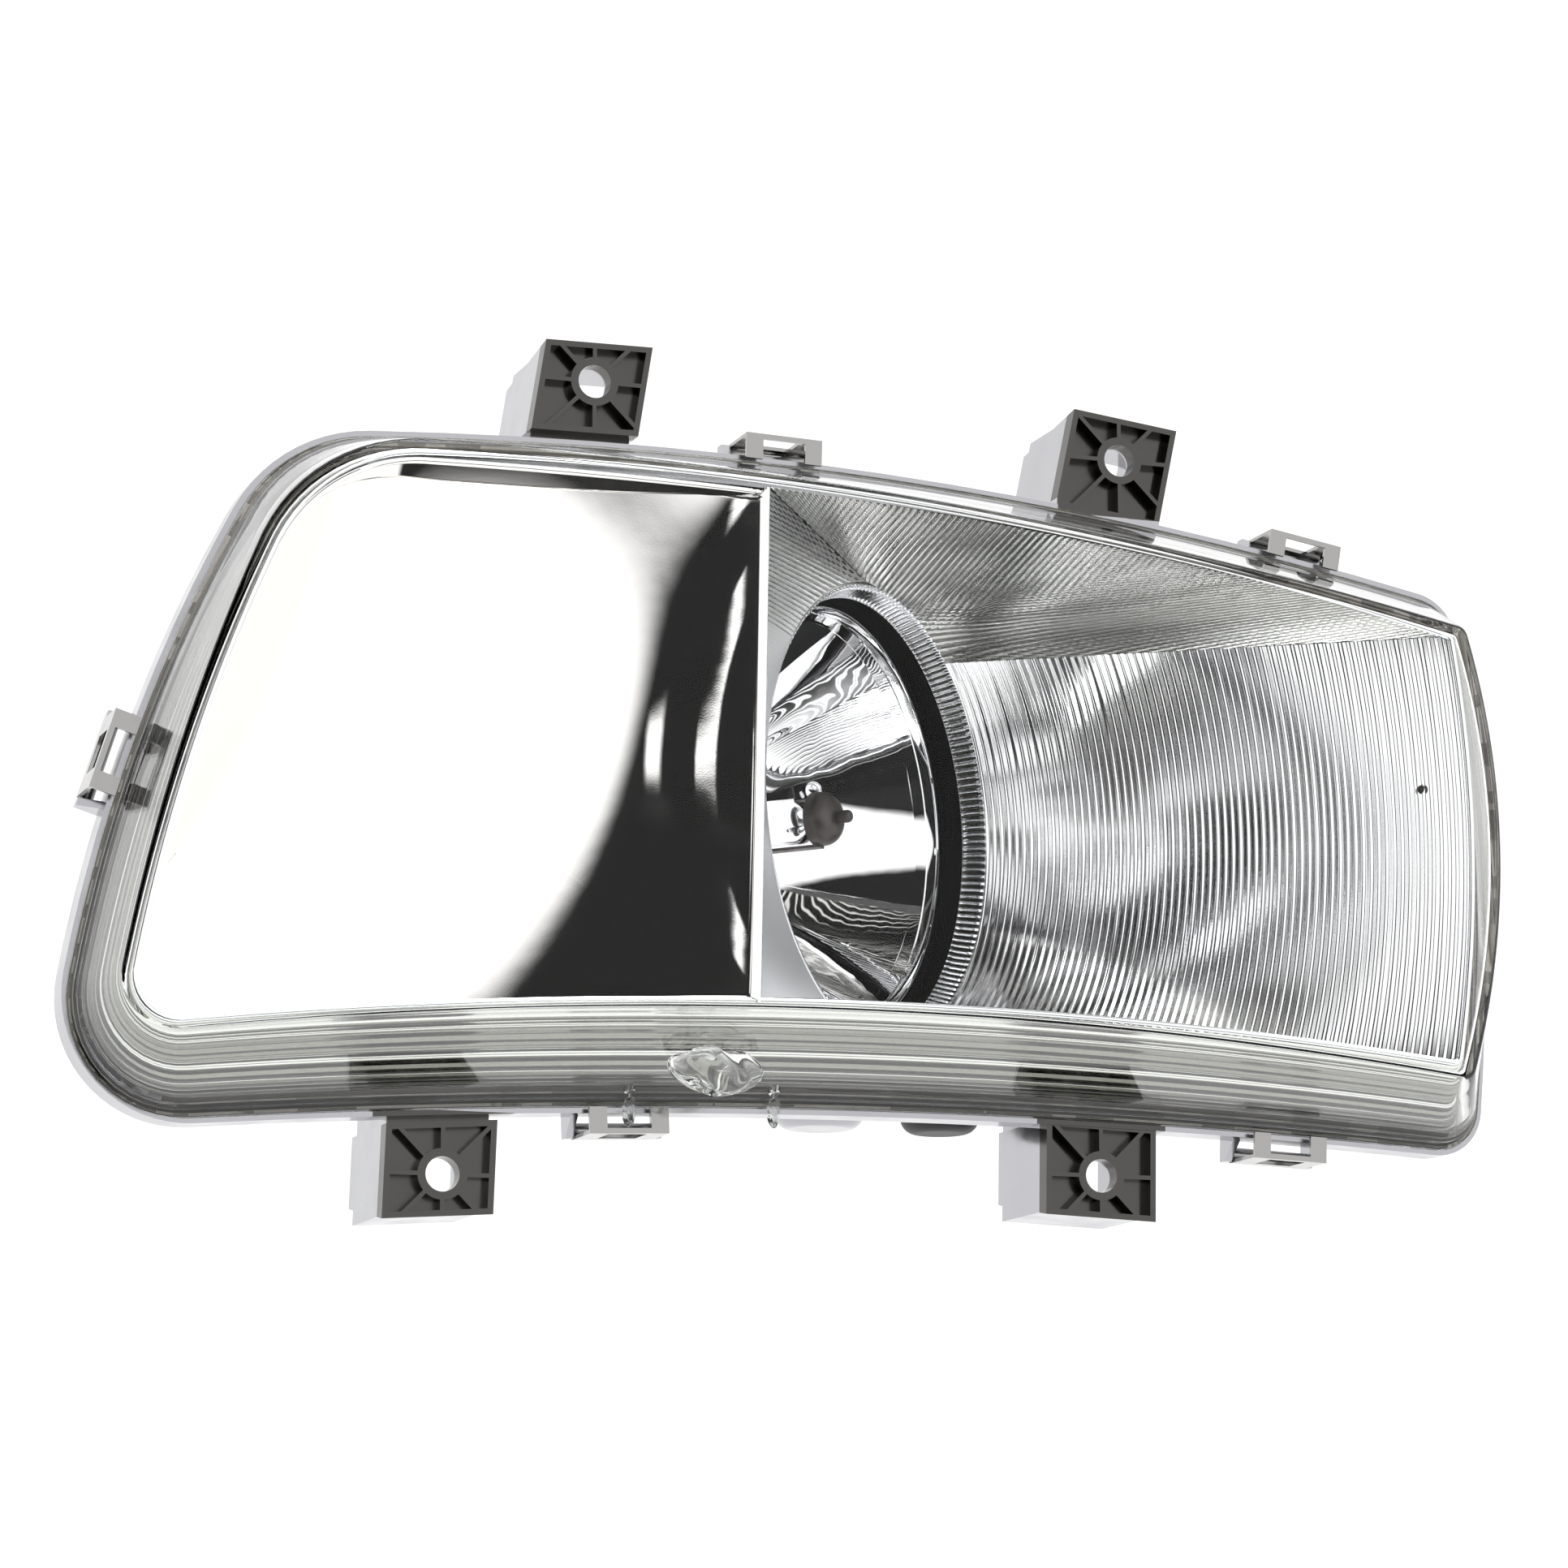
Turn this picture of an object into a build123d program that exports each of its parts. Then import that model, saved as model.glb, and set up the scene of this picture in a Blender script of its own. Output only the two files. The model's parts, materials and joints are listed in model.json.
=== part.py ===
"""Right-hand headlamp unit: housing, lens, bezel, round aimable reflector, bulb and fastenings.

Millimetres. +X runs along the lamp from its outer to its inner end, +Y rearward along the mounting bolts,
+Z up. The origin is the lower outer mounting hole, at the front face of its post.
"""

import os
from math import cos, radians, sin, sqrt

from build123d import *

os.makedirs("parts", exist_ok=True)

# ---- driving dimensions -------------------------------------------------------------------------
beam_turn = 40  # beam axis, turned outward from the mounting bolts, in degrees
ring_centre = Vector(158, 20, 131)  # middle of the round opening's front plane
wall = 3  # plastic walls
slip = 0.05  # radial clearance of pins and screws in their bores

# the lamp's outline: corner and mid-side points (X, Z), counter-clockwise from the lower outer corner
flange_corners = [(-130, 8), (371, 19), (366, 216), (-58, 240)]
flange_middles = [(120, 24), (376, 118), (153, 244), (-108, 127)]
flange_radii = [40, 17, 18, 55]
front_corners = [(-117, 36), (343, 41), (345, 194), (-60, 226)]
front_middles = [(130, 50), (356, 117), (142, 223), (-97, 131)]
front_radii = [15, 4, 4, 63]
front_depth = 52  # from the mounting plane forward to the outline above
back_corners = [(-50, 50), (300, 50), (300, 208), (-20, 212)]
back_middles = [(125, 48), (303, 129), (140, 218), (-40, 131)]
back_radii = [30, 25, 25, 35]
back_depth = 62  # from the mounting plane back to the bucket's floor

lens_wall = 3
lens_crown = 56  # how far the lens stands in front of the mounting plane
lens_bend = 4000  # radius of the lens across its width
lens_arch = 2000  # radius of the lens over its height
foot_front, foot_back = 3, -1  # lens foot, in front of the mounting plane
foot_wall, foot_gap = 3, 2.2  # the skirt's root and the foot's own edge, in from the flange's edge
lens_reach = 62  # the skirt is drawn on to here before its front is cut to shape
seal_back = -3
lip_back = -11
bucket_step = 5  # the bucket behind the flange's lip, in from its edge
rim_front = 0.5  # the wall around the lens foot

bezel_front = 40  # the bezel's front edge, in front of the mounting plane
bezel_wall = 2
bezel_corners = [(-113, 37), (344, 46), (345, 194), (-54, 224)]
bezel_middles = [(115, 55.5), (351, 117), (150, 224), (-92, 131)]
bezel_radii = [14, 3, 3, 58]
ridge_top, ridge_foot = (95.5, 224.5), (92.5, 54)  # the divider between the pan and the funnel
ridge_half = 1
pan_depth = 54  # from the bezel's front edge to the pan's floor
opening_r = 77  # round opening at the funnel's small end
funnel_turns = (-117, -57, 52, 92)  # where the funnel's four edges meet the opening, in degrees
ring_depth, ring_inner_r, ring_outer_r = 8, 74, 80

bowl_r, bowl_focal, bowl_wall = 70, 20, 3
bowl_front = 20  # rim, behind the opening's front plane
bowl_hole_r = 12
pivot_back = 24  # the aiming axes, behind the opening's front plane
pin_r = 3
carrier_inner_r, carrier_outer_r, carrier_thick = 75, 82, 8

drum_r, drum_back = 92, 45  # round rear of the housing, about the beam axis
tower_r, tower_front, tower_back = 48, 84, 112
post_length = 42
bolt_r, boss_r = 5.65, 8.3
clip_width, clip_pin_r, clip_sheet = 27, 1.5, 1.2
clip_pin_out, clip_pin_back = 4.4, 14.6

ball_play = 0.35
socket_reach = 83.5  # how far from the beam axis the carrier's ball socket may reach
bowl_rim_r, bowl_rim_thick = 73, 2.5
collar_wall, collar_front = 1.5, 16  # the bowl's collar in front of its rim
bowl_apex = bowl_front + bowl_r**2 / (4 * bowl_focal)  # behind the opening's front plane
plate_r, plate_thick = 27, 3.5  # the bowl's rear plate, which the bulb seats on
plate_back = bowl_apex + 4.5

flange_r, flange_thick = 19, 2.5  # the bulb's own flange
glass_r, glass_front = 8, 32
shield_r, shield_wall, shield_front, shield_back = 9.3, 0.8, 16.5, 25
shield_cap, nub_r, nub_length = 5, 2.2, 5.5  # the shield's solid nose, and the nub on it
blade = (8, 0.8, 8)  # width, thickness and length of a contact blade
blade_spots = [((0, 7), 0), ((-7, -2), 90), ((7, -2), 90)]  # (across, up) and turn of each blade
plug_size, plug_length = (24, 24), 12.5
position_side, position_up, position_r = 44, 20, 6  # the position bulb, about the beam axis
position_back = 66.3  # front of its holder's flange

knob_r, knob_length, knob_gap = 9, 12, 0.3
wire_r, wire_foot_up, wire_top_up, wire_leg_out, wire_ear_out = 0.8, -22, 20, 14, 19
wire_back = bowl_apex + 8.2  # the bulb's wire clip, behind the opening

# ---- frames -------------------------------------------------------------------------------------
axis = Vector(sin(radians(beam_turn)), -cos(radians(beam_turn)), 0)  # forward along the beam
across = Vector(cos(radians(beam_turn)), sin(radians(beam_turn)), 0)


def beam(back=0, side=0, up=0):
    """The plane square to the beam, so far behind the round opening; its x is across, its y is up."""
    spot = ring_centre - axis * back + across * side + Vector(0, 0, up)
    return Plane(origin=spot, x_dir=across, z_dir=axis)


def beam_side():
    """The level plane through the beam axis: its x is the radius across, its y points back."""
    return Plane(origin=ring_centre, x_dir=across, z_dir=(0, 0, 1))


def front_plane(depth):
    """The plane parallel to the mounting plane, so far in front of it; its x is X, its y is Z."""
    return Plane.XZ.offset(depth)


# ---- outlines -----------------------------------------------------------------------------------
def four_sided(corners, middles, radii, plane):
    """A face with four bowed sides and rounded corners."""
    with BuildSketch(plane) as face:
        with BuildLine():
            for i in range(4):
                ThreePointArc(corners[i], middles[i], corners[(i + 1) % 4])
        make_face()
        for corner, radius in zip(corners, radii):
            fillet(face.vertices().sort_by_distance((*corner, 0))[0], radius)
    return face.sketch


def between(a, b, share):
    """Points on the way from each point of a to the same point of b."""
    return [(p[0] + (q[0] - p[0]) * share, p[1] + (q[1] - p[1]) * share) for p, q in zip(a, b)]


def drawn_in(corners, middles, radii, inset):
    """The same outline, smaller by the inset all round."""
    corner_steps = [(1, 1), (-1, 1), (-1, -1), (1, -1)]
    middle_steps = [(0, 1), (-1, 0), (0, -1), (1, 0)]
    corners = [(p[0] + inset * s[0], p[1] + inset * s[1]) for p, s in zip(corners, corner_steps)]
    middles = [(p[0] + inset * s[0], p[1] + inset * s[1]) for p, s in zip(middles, middle_steps)]
    return corners, middles, [max(radius - inset, 1) for radius in radii]


def outline(depth, inset=0):
    """The lamp's outline, so far in front of the mounting plane."""
    share = max(depth, 0) / front_depth
    corners = between(flange_corners, front_corners, share)
    middles = between(flange_middles, front_middles, share)
    radii = [a + (b - a) * share for a, b in zip(flange_radii, front_radii)]
    return four_sided(*drawn_in(corners, middles, radii, inset), front_plane(depth))


def flange_face(inset, plane=Plane.XY):
    """A face in the flange's outline, drawn in by the inset."""
    return four_sided(*drawn_in(flange_corners, flange_middles, flange_radii, inset), plane)


def band(depth, height, outer_inset, inner_inset):
    """A frame that follows the flange, its front face at this depth."""
    with BuildPart() as frame:
        with BuildSketch(front_plane(depth)):
            add(flange_face(outer_inset))
            add(flange_face(inner_inset), mode=Mode.SUBTRACT)
        extrude(amount=-height)
    return frame.part


# ---- lens clip seats ----------------------------------------------------------------------------
# side of the flange, counter-clockwise from the bottom one, and share of the way along it
clip_seats = {
    "lens_clip_bottom_left": (0, 0.382),
    "lens_clip_bottom_right": (0, 0.854),
    "lens_clip_top_right": (2, 0.14),
    "lens_clip_top_middle": (2, 0.595),
    "lens_clip_left": (3, 0.5),
}


def clip_seat(side, share):
    """A plane at the flange's edge: its x points outward, its y rearward, its z along the edge."""
    corners, middle = flange_corners, flange_middles[side]
    edge = ThreePointArc(corners[side], middle, corners[(side + 1) % 4])
    spot, run = edge @ share, edge % share
    return Plane(
        origin=(spot.X, 0, spot.Y), x_dir=(run.Y, 0, -run.X), z_dir=(run.X, 0, run.Y)
    )


# ---- mounting posts -----------------------------------------------------------------------------
# hole (X, Z), pad width and height, slope of its top edge and lean of its sides in degrees, and
# which way the housing lies: +1 above the post, -1 below it
posts = {
    "lower_outer": ((0, 0), (-0.9, 1.6), (37, 30.5), 4, 2, 1),
    "lower_inner": ((229.4, 8.1), (229.4, 9.8), (40, 31.8), -2, 1, 1),
    "upper_outer": ((48.9, 266.7), (48.1, 264.5), (37.3, 31.6), 1, 9, -1),
    "upper_inner": ((239.5, 256.7), (238.4, 254), (38.8, 35.8), -6.5, 12, -1),
}
post_wall, pocket_depth, web, rib = 2, 4.5, 2.5, 1.4
post_rise = 7  # how far a post's outer side has come in at its back
root_reach = 26  # how far a post's root runs on into the bucket


def pad_corners(centre, size, slope, lean, inset=0, reach=0, rise=0):
    """The pad's four corners; reach moves the two that face the housing, rise the other two."""
    u = (cos(radians(slope)), sin(radians(slope)))
    v = (sin(radians(lean)), cos(radians(lean)))
    half_w, half_h = size[0] / 2 - inset, size[1] / 2 - inset
    corners = []
    for a, b in ((-1, -1), (1, -1), (1, 1), (-1, 1)):
        height = b * half_h + (reach if b * reach > 0 else 0) + (rise if b * rise < 0 else 0)
        corners.append(
            (centre[0] + a * half_w * u[0] + height * v[0], centre[1] + a * half_w * u[1] + height * v[1])
        )
    return corners


def bayonet_teeth(back, thick, inner_r, outer_r, turn):
    """Three blocks on a circle about the beam axis, the first one turned so far from across."""
    with BuildPart() as teeth:
        with BuildSketch(beam(back)):
            with PolarLocations(outer_r, 3, start_angle=turn):
                Rectangle(outer_r, tooth_width)
            Circle(outer_r, mode=Mode.INTERSECT)
            Circle(inner_r, mode=Mode.SUBTRACT)
        extrude(amount=thick)
    return teeth.part


# ---- housing ------------------------------------------------------------------------------------
def bucket(inset, front, back):
    """The bucket behind the flange: full outline at its front, smaller at its floor."""
    with BuildPart() as body:
        add(flange_face(bucket_step + inset, front_plane(-front)))
        add(four_sided(*drawn_in(back_corners, back_middles, back_radii, inset), front_plane(-back)))
        loft()
    return body.part


def round_rear(inset):
    """Drum, cone and tower about the beam axis, turned in one piece."""
    with BuildPart() as body:
        with BuildSketch(beam_side()):
            with BuildLine():
                Polyline(
                    (0, -30),
                    (drum_r - inset, -30),
                    (drum_r - inset, drum_back - inset / 2),
                    (tower_r - inset, tower_front - inset / 2),
                    (tower_r - inset, tower_back + (1 if inset else 0)),
                    (0, tower_back + (1 if inset else 0)),
                    close=True,
                )
            make_face()
        revolve(axis=Axis(ring_centre, axis))
    return body.part


tilt_stud_up, tilt_stud_back = 67, 40  # ball centre above the beam axis, and behind the opening
swing_stud_out, swing_stud_up, swing_stud_back = 55, -55, 38
stud_r, ball_r, screw_boss_r = 2.5, 3.5, 8
tilt_boss_back, swing_boss_back = 84, 74  # rear faces of the two screw bosses
lower_boss_r, lower_boss_end = 15, 24.5  # the lower swing pivot: radius, and Z of its foot
upper_boss_r = 9
boot_spot, boot_r, boot_end = (189, 45), 13.5, 25.5  # (X, Y), radius and Z of the vent boot's foot
vent_pipe_r = 10
sleeve_r = 4  # the aiming screws' sleeves
ear_gap, ear_thick = 0.5, 2.5
tab_turn = 0  # where the bayonet's housing tabs stand, in degrees
tooth_width = 16
inlet_spot, inlet_size = (268, 150), (36, 24)  # (X, Z) and (width, height)

bucket_hollow = bucket(wall, -1, back_depth - wall)
round_hollow = round_rear(wall)
pivot = ring_centre - axis * pivot_back
pivot_pin_end = 96  # both swing pins end here, from the beam axis

with BuildPart() as housing:
    add(bucket(0, 5, back_depth))
    add(round_rear(0))
    # lower and upper swing pivots
    with BuildSketch(Plane.XY.offset(lower_boss_end)):
        with Locations((pivot.X, pivot.Y)):
            Circle(lower_boss_r)
    extrude(amount=24)
    foot = housing.faces().filter_by(Axis.Z).sort_by_distance((pivot.X, pivot.Y, lower_boss_end))[0]
    fillet(foot.edges(), 5)
    with BuildSketch(Plane.XY.offset(pivot.Z + pivot_pin_end + 4)):
        with Locations((pivot.X, pivot.Y)):
            Circle(upper_boss_r)
    extrude(amount=-14)
    # bosses of the two aiming screws, and the vent pipe
    with BuildSketch(beam(tilt_boss_back, 0, tilt_stud_up)):
        Circle(screw_boss_r)
    extrude(amount=20)
    with BuildSketch(beam(swing_boss_back, swing_stud_out, swing_stud_up)):
        Circle(screw_boss_r)
    extrude(amount=22)
    with BuildSketch(Plane.XY.offset(boot_end + 6)):
        with Locations(boot_spot):
            Circle(vent_pipe_r)
    extrude(amount=24)
    # nothing of these stands in front of the lip
    split(bisect_by=front_plane(seal_back), keep=Keep.BOTTOM)
    for hole, centre, size, slope, lean, way in posts.values():
        with BuildSketch(front_plane(0)):
            Polygon(*pad_corners(centre, size, slope, lean), align=None)
        with BuildSketch(front_plane(-post_length)):
            Polygon(*pad_corners(centre, size, slope, lean, rise=way * post_rise), align=None)
        loft()
        with BuildSketch(front_plane(-5)):
            Polygon(*pad_corners(centre, size, slope, lean, 1.5, way * root_reach), align=None)
        extrude(amount=5 - post_length)
    add(band(seal_back, seal_back - lip_back, 0, 12))
    add(band(rim_front, rim_front - seal_back, 0, 1.7))
    # ears of the lens clips, each with its pin
    for side, share in clip_seats.values():
        seat = clip_seat(side, share)
        ear_middle = clip_width / 2 + ear_gap + ear_thick / 2
        for way in (-1, 1):
            spot = seat.origin + seat.z_dir * way * ear_middle
            ear_out, ear_back = clip_pin_out + 2.4, clip_pin_back + 2.4
            with BuildSketch(Plane(spot, x_dir=seat.x_dir, z_dir=seat.z_dir)):
                Polygon((-8, 5), (-1, 5), (ear_out, 13), (ear_out, ear_back), (-8, ear_back), align=None)
            extrude(amount=ear_thick / 2, both=True)
        with BuildSketch(seat):
            with Locations((clip_pin_out, clip_pin_back)):
                Circle(clip_pin_r)
        extrude(amount=ear_middle, both=True)
    # the inside
    add(bucket_hollow, mode=Mode.SUBTRACT)
    add(round_hollow, mode=Mode.SUBTRACT)
    with BuildSketch(Plane.XY.offset(pivot.Z)):
        with Locations((pivot.X, pivot.Y)):
            Circle(pin_r + slip)
    extrude(amount=pivot_pin_end + 1, both=True, mode=Mode.SUBTRACT)
    with BuildSketch(beam(tilt_boss_back, 0, tilt_stud_up)):
        Circle(sleeve_r + slip)
    extrude(amount=40, mode=Mode.SUBTRACT)
    with BuildSketch(beam(swing_boss_back, swing_stud_out, swing_stud_up)):
        Circle(sleeve_r + slip)
    extrude(amount=30, mode=Mode.SUBTRACT)
    with BuildSketch(Plane.XY.offset(boot_end + 5)):
        with Locations(boot_spot):
            Circle(vent_pipe_r - 2)
    extrude(amount=24, mode=Mode.SUBTRACT)
    # three inner tabs that the rear cap locks behind
    add(bayonet_teeth(tower_back - 7, 3, tower_r - 2 * wall, tower_r - wall + 0.5, tab_turn))
    # post faces: a ribbed pocket in front, one behind that opens through the slanted outer side
    # toward the back, so the bolt has a straight way, and the bolt bore
    for hole, centre, size, slope, lean, way in posts.values():
        with BuildSketch(front_plane(0)):
            Polygon(*pad_corners(centre, size, slope, lean, post_wall), align=None)
            with Locations(hole):
                Circle(boss_r, mode=Mode.SUBTRACT)
                for turn in (0, 45, 90, 135):
                    Rectangle(80, rib, rotation=turn, mode=Mode.SUBTRACT)
        extrude(amount=-pocket_depth, mode=Mode.SUBTRACT)
        with BuildSketch(front_plane(-pocket_depth - web)):
            Polygon(*pad_corners(centre, size, slope, lean, wall), align=None)
        extrude(amount=pocket_depth + web - post_length - 1, mode=Mode.SUBTRACT)
        with BuildSketch(front_plane(1)):
            with Locations(hole):
                Circle(bolt_r)
        extrude(amount=-pocket_depth - web - 2, mode=Mode.SUBTRACT)
housing.part.label = "housing"
export_step(housing.part, "parts/housing.step")

# ---- lens and seal ------------------------------------------------------------------------------
def lens_block(inset):
    """The lens as if solid, drawn in by the inset: a drafted skirt closed by a barrel-shaped front."""
    crown, bend, half = lens_crown - inset, lens_bend - inset, 170
    sag = lens_arch - sqrt(lens_arch**2 - half**2)
    with BuildPart() as barrel:
        with BuildSketch(Plane(origin=(140, 0, ring_centre.Z), x_dir=(0, -1, 0), z_dir=(1, 0, 0))):
            with BuildLine():
                Polyline(
                    (crown - sag, -half), (crown - bend, -half), (crown - bend, half), (crown - sag, half)
                )
                ThreePointArc((crown - sag, half), (crown, 0), (crown - sag, -half))
            make_face()
        revolve(axis=Axis((140, bend - crown, 0), (0, 0, 1)))
    with BuildPart() as block:
        add(outline(-0.5 if inset else 0, foot_wall + inset))
        add(outline(lens_reach, inset))
        loft()
        add(barrel.part, mode=Mode.INTERSECT)
    return block.part


with BuildPart() as lens:
    add(band(foot_front, foot_front - foot_back, foot_gap, foot_wall + lens_wall + 4))
    add(lens_block(0))
    add(lens_block(lens_wall), mode=Mode.SUBTRACT)
    with BuildSketch(front_plane(0.5)):
        add(flange_face(foot_wall + lens_wall))
    extrude(amount=-4, mode=Mode.SUBTRACT)
lens.part.label = "lens"
export_step(lens.part, "parts/lens.step")

lens_seal = band(foot_back, foot_back - seal_back, 3, foot_wall + lens_wall)
lens_seal.label = "lens_seal"
export_step(lens_seal, "parts/lens_seal.step")

# ---- lens clips ---------------------------------------------------------------------------------
for name, (side, share) in clip_seats.items():
    seat = clip_seat(side, share)
    curl_out, curl_back = clip_pin_out, clip_pin_back
    curl_r = clip_pin_r + slip + clip_sheet
    top = curl_out + curl_r
    nose = -foot_front - 0.3  # the nose's inner face, just in front of the lens's foot
    with BuildPart() as clip:
        with BuildSketch(seat):
            with BuildLine():
                Polyline(
                    (top, curl_back),
                    (top, nose - clip_sheet),
                    (-1.6, nose - clip_sheet),
                    (-1.6, nose),
                    (top - clip_sheet, nose),
                    (top - clip_sheet, curl_back),
                    close=True,
                )
            make_face()
            with Locations((curl_out, curl_back)):
                Circle(curl_r)
                Circle(clip_pin_r + slip, mode=Mode.SUBTRACT)
        extrude(amount=clip_width / 2, both=True)
        with BuildSketch(seat):
            with Locations((top, 4)):
                Rectangle(6, 12)
        extrude(amount=clip_width / 2 - 7, both=True, mode=Mode.SUBTRACT)
        with BuildSketch(seat):
            with Locations((top - clip_sheet - 4.6, nose - clip_sheet / 2)):
                Rectangle(8, 4 * clip_sheet)
        extrude(amount=clip_width / 2 - 6, both=True, mode=Mode.SUBTRACT)
    clip.part.label = name
    export_step(clip.part, f"parts/{name}.step")

# ---- bezel and trim ring ------------------------------------------------------------------------
def bowed(a, b, rise):
    """The point half way from a to b, raised."""
    return ((a[0] + b[0]) / 2, (a[1] + b[1]) / 2 + rise)


def pan_block(inset, floor_depth):
    """The pan's side of the bezel as if solid: its outline in front, a small floor behind."""
    corners, middles, radii = drawn_in(bezel_corners, bezel_middles, bezel_radii, inset)
    left_top, left_foot = corners[3], corners[0]
    step = -ridge_half if inset else ridge_half
    top, foot = (ridge_top[0] + step, ridge_top[1] - inset), (ridge_foot[0] + step, ridge_foot[1] + inset)
    floor = [(-46 + inset, 84), (30 - inset, 86), (30 - inset, 176), (-32 + inset, 176)]
    with BuildPart() as block:
        with BuildSketch(front_plane(bezel_front + (0.5 if inset else 0))) as mouth:
            with BuildLine():
                ThreePointArc(left_foot, bowed(left_foot, foot, 2), foot)
                Line(foot, top)
                ThreePointArc(top, bowed(top, left_top, 1.5), left_top)
                ThreePointArc(left_top, middles[3], left_foot)
            make_face()
            for corner, radius in ((left_foot, radii[0]), (foot, 2), (top, 2), (left_top, radii[3])):
                fillet(mouth.vertices().sort_by_distance((*corner, 0))[0], radius)
        with BuildSketch(front_plane(bezel_front - floor_depth)) as bottom:
            Polygon(*floor, align=None)
            fillet(bottom.vertices(), 22)
        loft()
    return block.part


def funnel_block(inset):
    """The funnel as if solid: four-sided in front, round at the opening."""
    corners, middles, radii = drawn_in(bezel_corners, bezel_middles, bezel_radii, inset)
    step = ridge_half if inset else -ridge_half
    top, foot = (ridge_top[0] + step, ridge_top[1] - inset), (ridge_foot[0] + step, ridge_foot[1] + inset)
    lead = 0.5 if inset else 0
    with BuildPart() as block:
        with BuildSketch(front_plane(bezel_front + lead)):
            with BuildLine():
                ThreePointArc(foot, bowed(foot, corners[1], 4), corners[1])
                ThreePointArc(corners[1], middles[1], corners[2])
                ThreePointArc(corners[2], bowed(corners[2], top, 5), top)
                Line(top, foot)
            make_face()
        with BuildSketch(beam(lead / 4)):
            radius = opening_r + bezel_wall + 1 - inset
            with BuildLine():
                for start, end in zip(funnel_turns, funnel_turns[1:] + (funnel_turns[0] + 360,)):
                    turns = (start, (start + end) / 2, end)
                    ThreePointArc(*[(radius * cos(radians(t)), radius * sin(radians(t))) for t in turns])
            make_face()
        loft(ruled=True)
    return block.part


with BuildPart() as bezel:
    add(pan_block(0, pan_depth + bezel_wall))
    add(funnel_block(0))
    add(pan_block(bezel_wall, pan_depth), mode=Mode.SUBTRACT)
    add(funnel_block(bezel_wall), mode=Mode.SUBTRACT)
bezel.part.label = "bezel"
export_step(bezel.part, "parts/bezel.step")

with BuildPart() as trim_ring:
    with BuildSketch(beam()):
        Circle(ring_outer_r)
    extrude(amount=-ring_depth)
    with BuildSketch(beam()):
        Circle(opening_r)
    with BuildSketch(beam(ring_depth)):
        Circle(ring_inner_r)
    loft(mode=Mode.SUBTRACT)
trim_ring.part.label = "trim_ring"
export_step(trim_ring.part, "parts/trim_ring.step")

# ---- aiming carrier and reflector ---------------------------------------------------------------
def ball_socket(back, side, up, width, height):
    """A channel open at both ends, in which a stud's ball is held fore and aft; front and rear walls."""
    depth = 2 * (ball_r + ball_play) + 4
    with BuildPart() as socket:
        with BuildSketch(beam(back, side, up)):
            Rectangle(width, height)
        extrude(amount=depth / 2, both=True)
    return socket.part


def ball_channel(back, side, up, width, rise):
    """The space inside a ball socket, and the slot the stud leaves it by; rise is its room up and down."""
    with BuildPart() as channel:
        with BuildSketch(beam(back, side, up)):
            Rectangle(width + 2, 2 * (ball_r + rise))
        extrude(amount=ball_r + ball_play, both=True)
        with BuildSketch(beam(back, side, up)):
            Rectangle(width + 2, 2 * (stud_r + rise))
        extrude(amount=-(ball_r + 6))
    return channel.part


with BuildPart() as aim_carrier:
    with BuildSketch(beam(pivot_back)):
        Circle(carrier_outer_r)
        Circle(carrier_inner_r, mode=Mode.SUBTRACT)
    extrude(amount=carrier_thick / 2, both=True)
    for way in (-1, 1):
        pin_root = pivot + Vector(0, 0, way * (carrier_outer_r - 2))
        with BuildSketch(Plane(origin=pin_root, z_dir=(0, 0, way))):
            Circle(pin_r)
        extrude(amount=pivot_pin_end - carrier_outer_r + 2)
    with BuildSketch(beam(pivot_back + 2, swing_stud_out + 1, swing_stud_up - 1)):
        Rectangle(8, 8)
    extrude(amount=-8)
    add(ball_socket(swing_stud_back, swing_stud_out, swing_stud_up, 12, 14))
    add(ball_channel(swing_stud_back, swing_stud_out, swing_stud_up, 12, ball_play), mode=Mode.SUBTRACT)
    # the socket's outer corner stays clear of the housing when the carrier swings
    with BuildSketch(beam(swing_stud_back + 8)):
        Circle(carrier_outer_r + 20)
        Circle(socket_reach, mode=Mode.SUBTRACT)
    extrude(amount=12, mode=Mode.SUBTRACT)
    with BuildSketch(Plane(origin=pivot, x_dir=(0, 0, 1), z_dir=across)):
        Circle(pin_r + slip)
    extrude(amount=carrier_outer_r + 2, both=True, mode=Mode.SUBTRACT)
aim_carrier.part.label = "aim_carrier"
export_step(aim_carrier.part, "parts/aim_carrier.step")


def bowl_form(back_step):
    """The inside of the bowl as a solid of revolution; back_step moves the parabola back."""
    apex = bowl_apex + back_step
    rim_r = sqrt(4 * bowl_focal * (apex - bowl_front))
    with BuildPart() as form:
        with BuildSketch(beam_side()):
            with BuildLine():
                Bezier((0, apex), (rim_r / 2, apex), (rim_r, bowl_front))
                Polyline((rim_r, bowl_front), (0, bowl_front), (0, apex))
            make_face()
        revolve(axis=Axis(ring_centre, axis))
    return form.part


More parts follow.
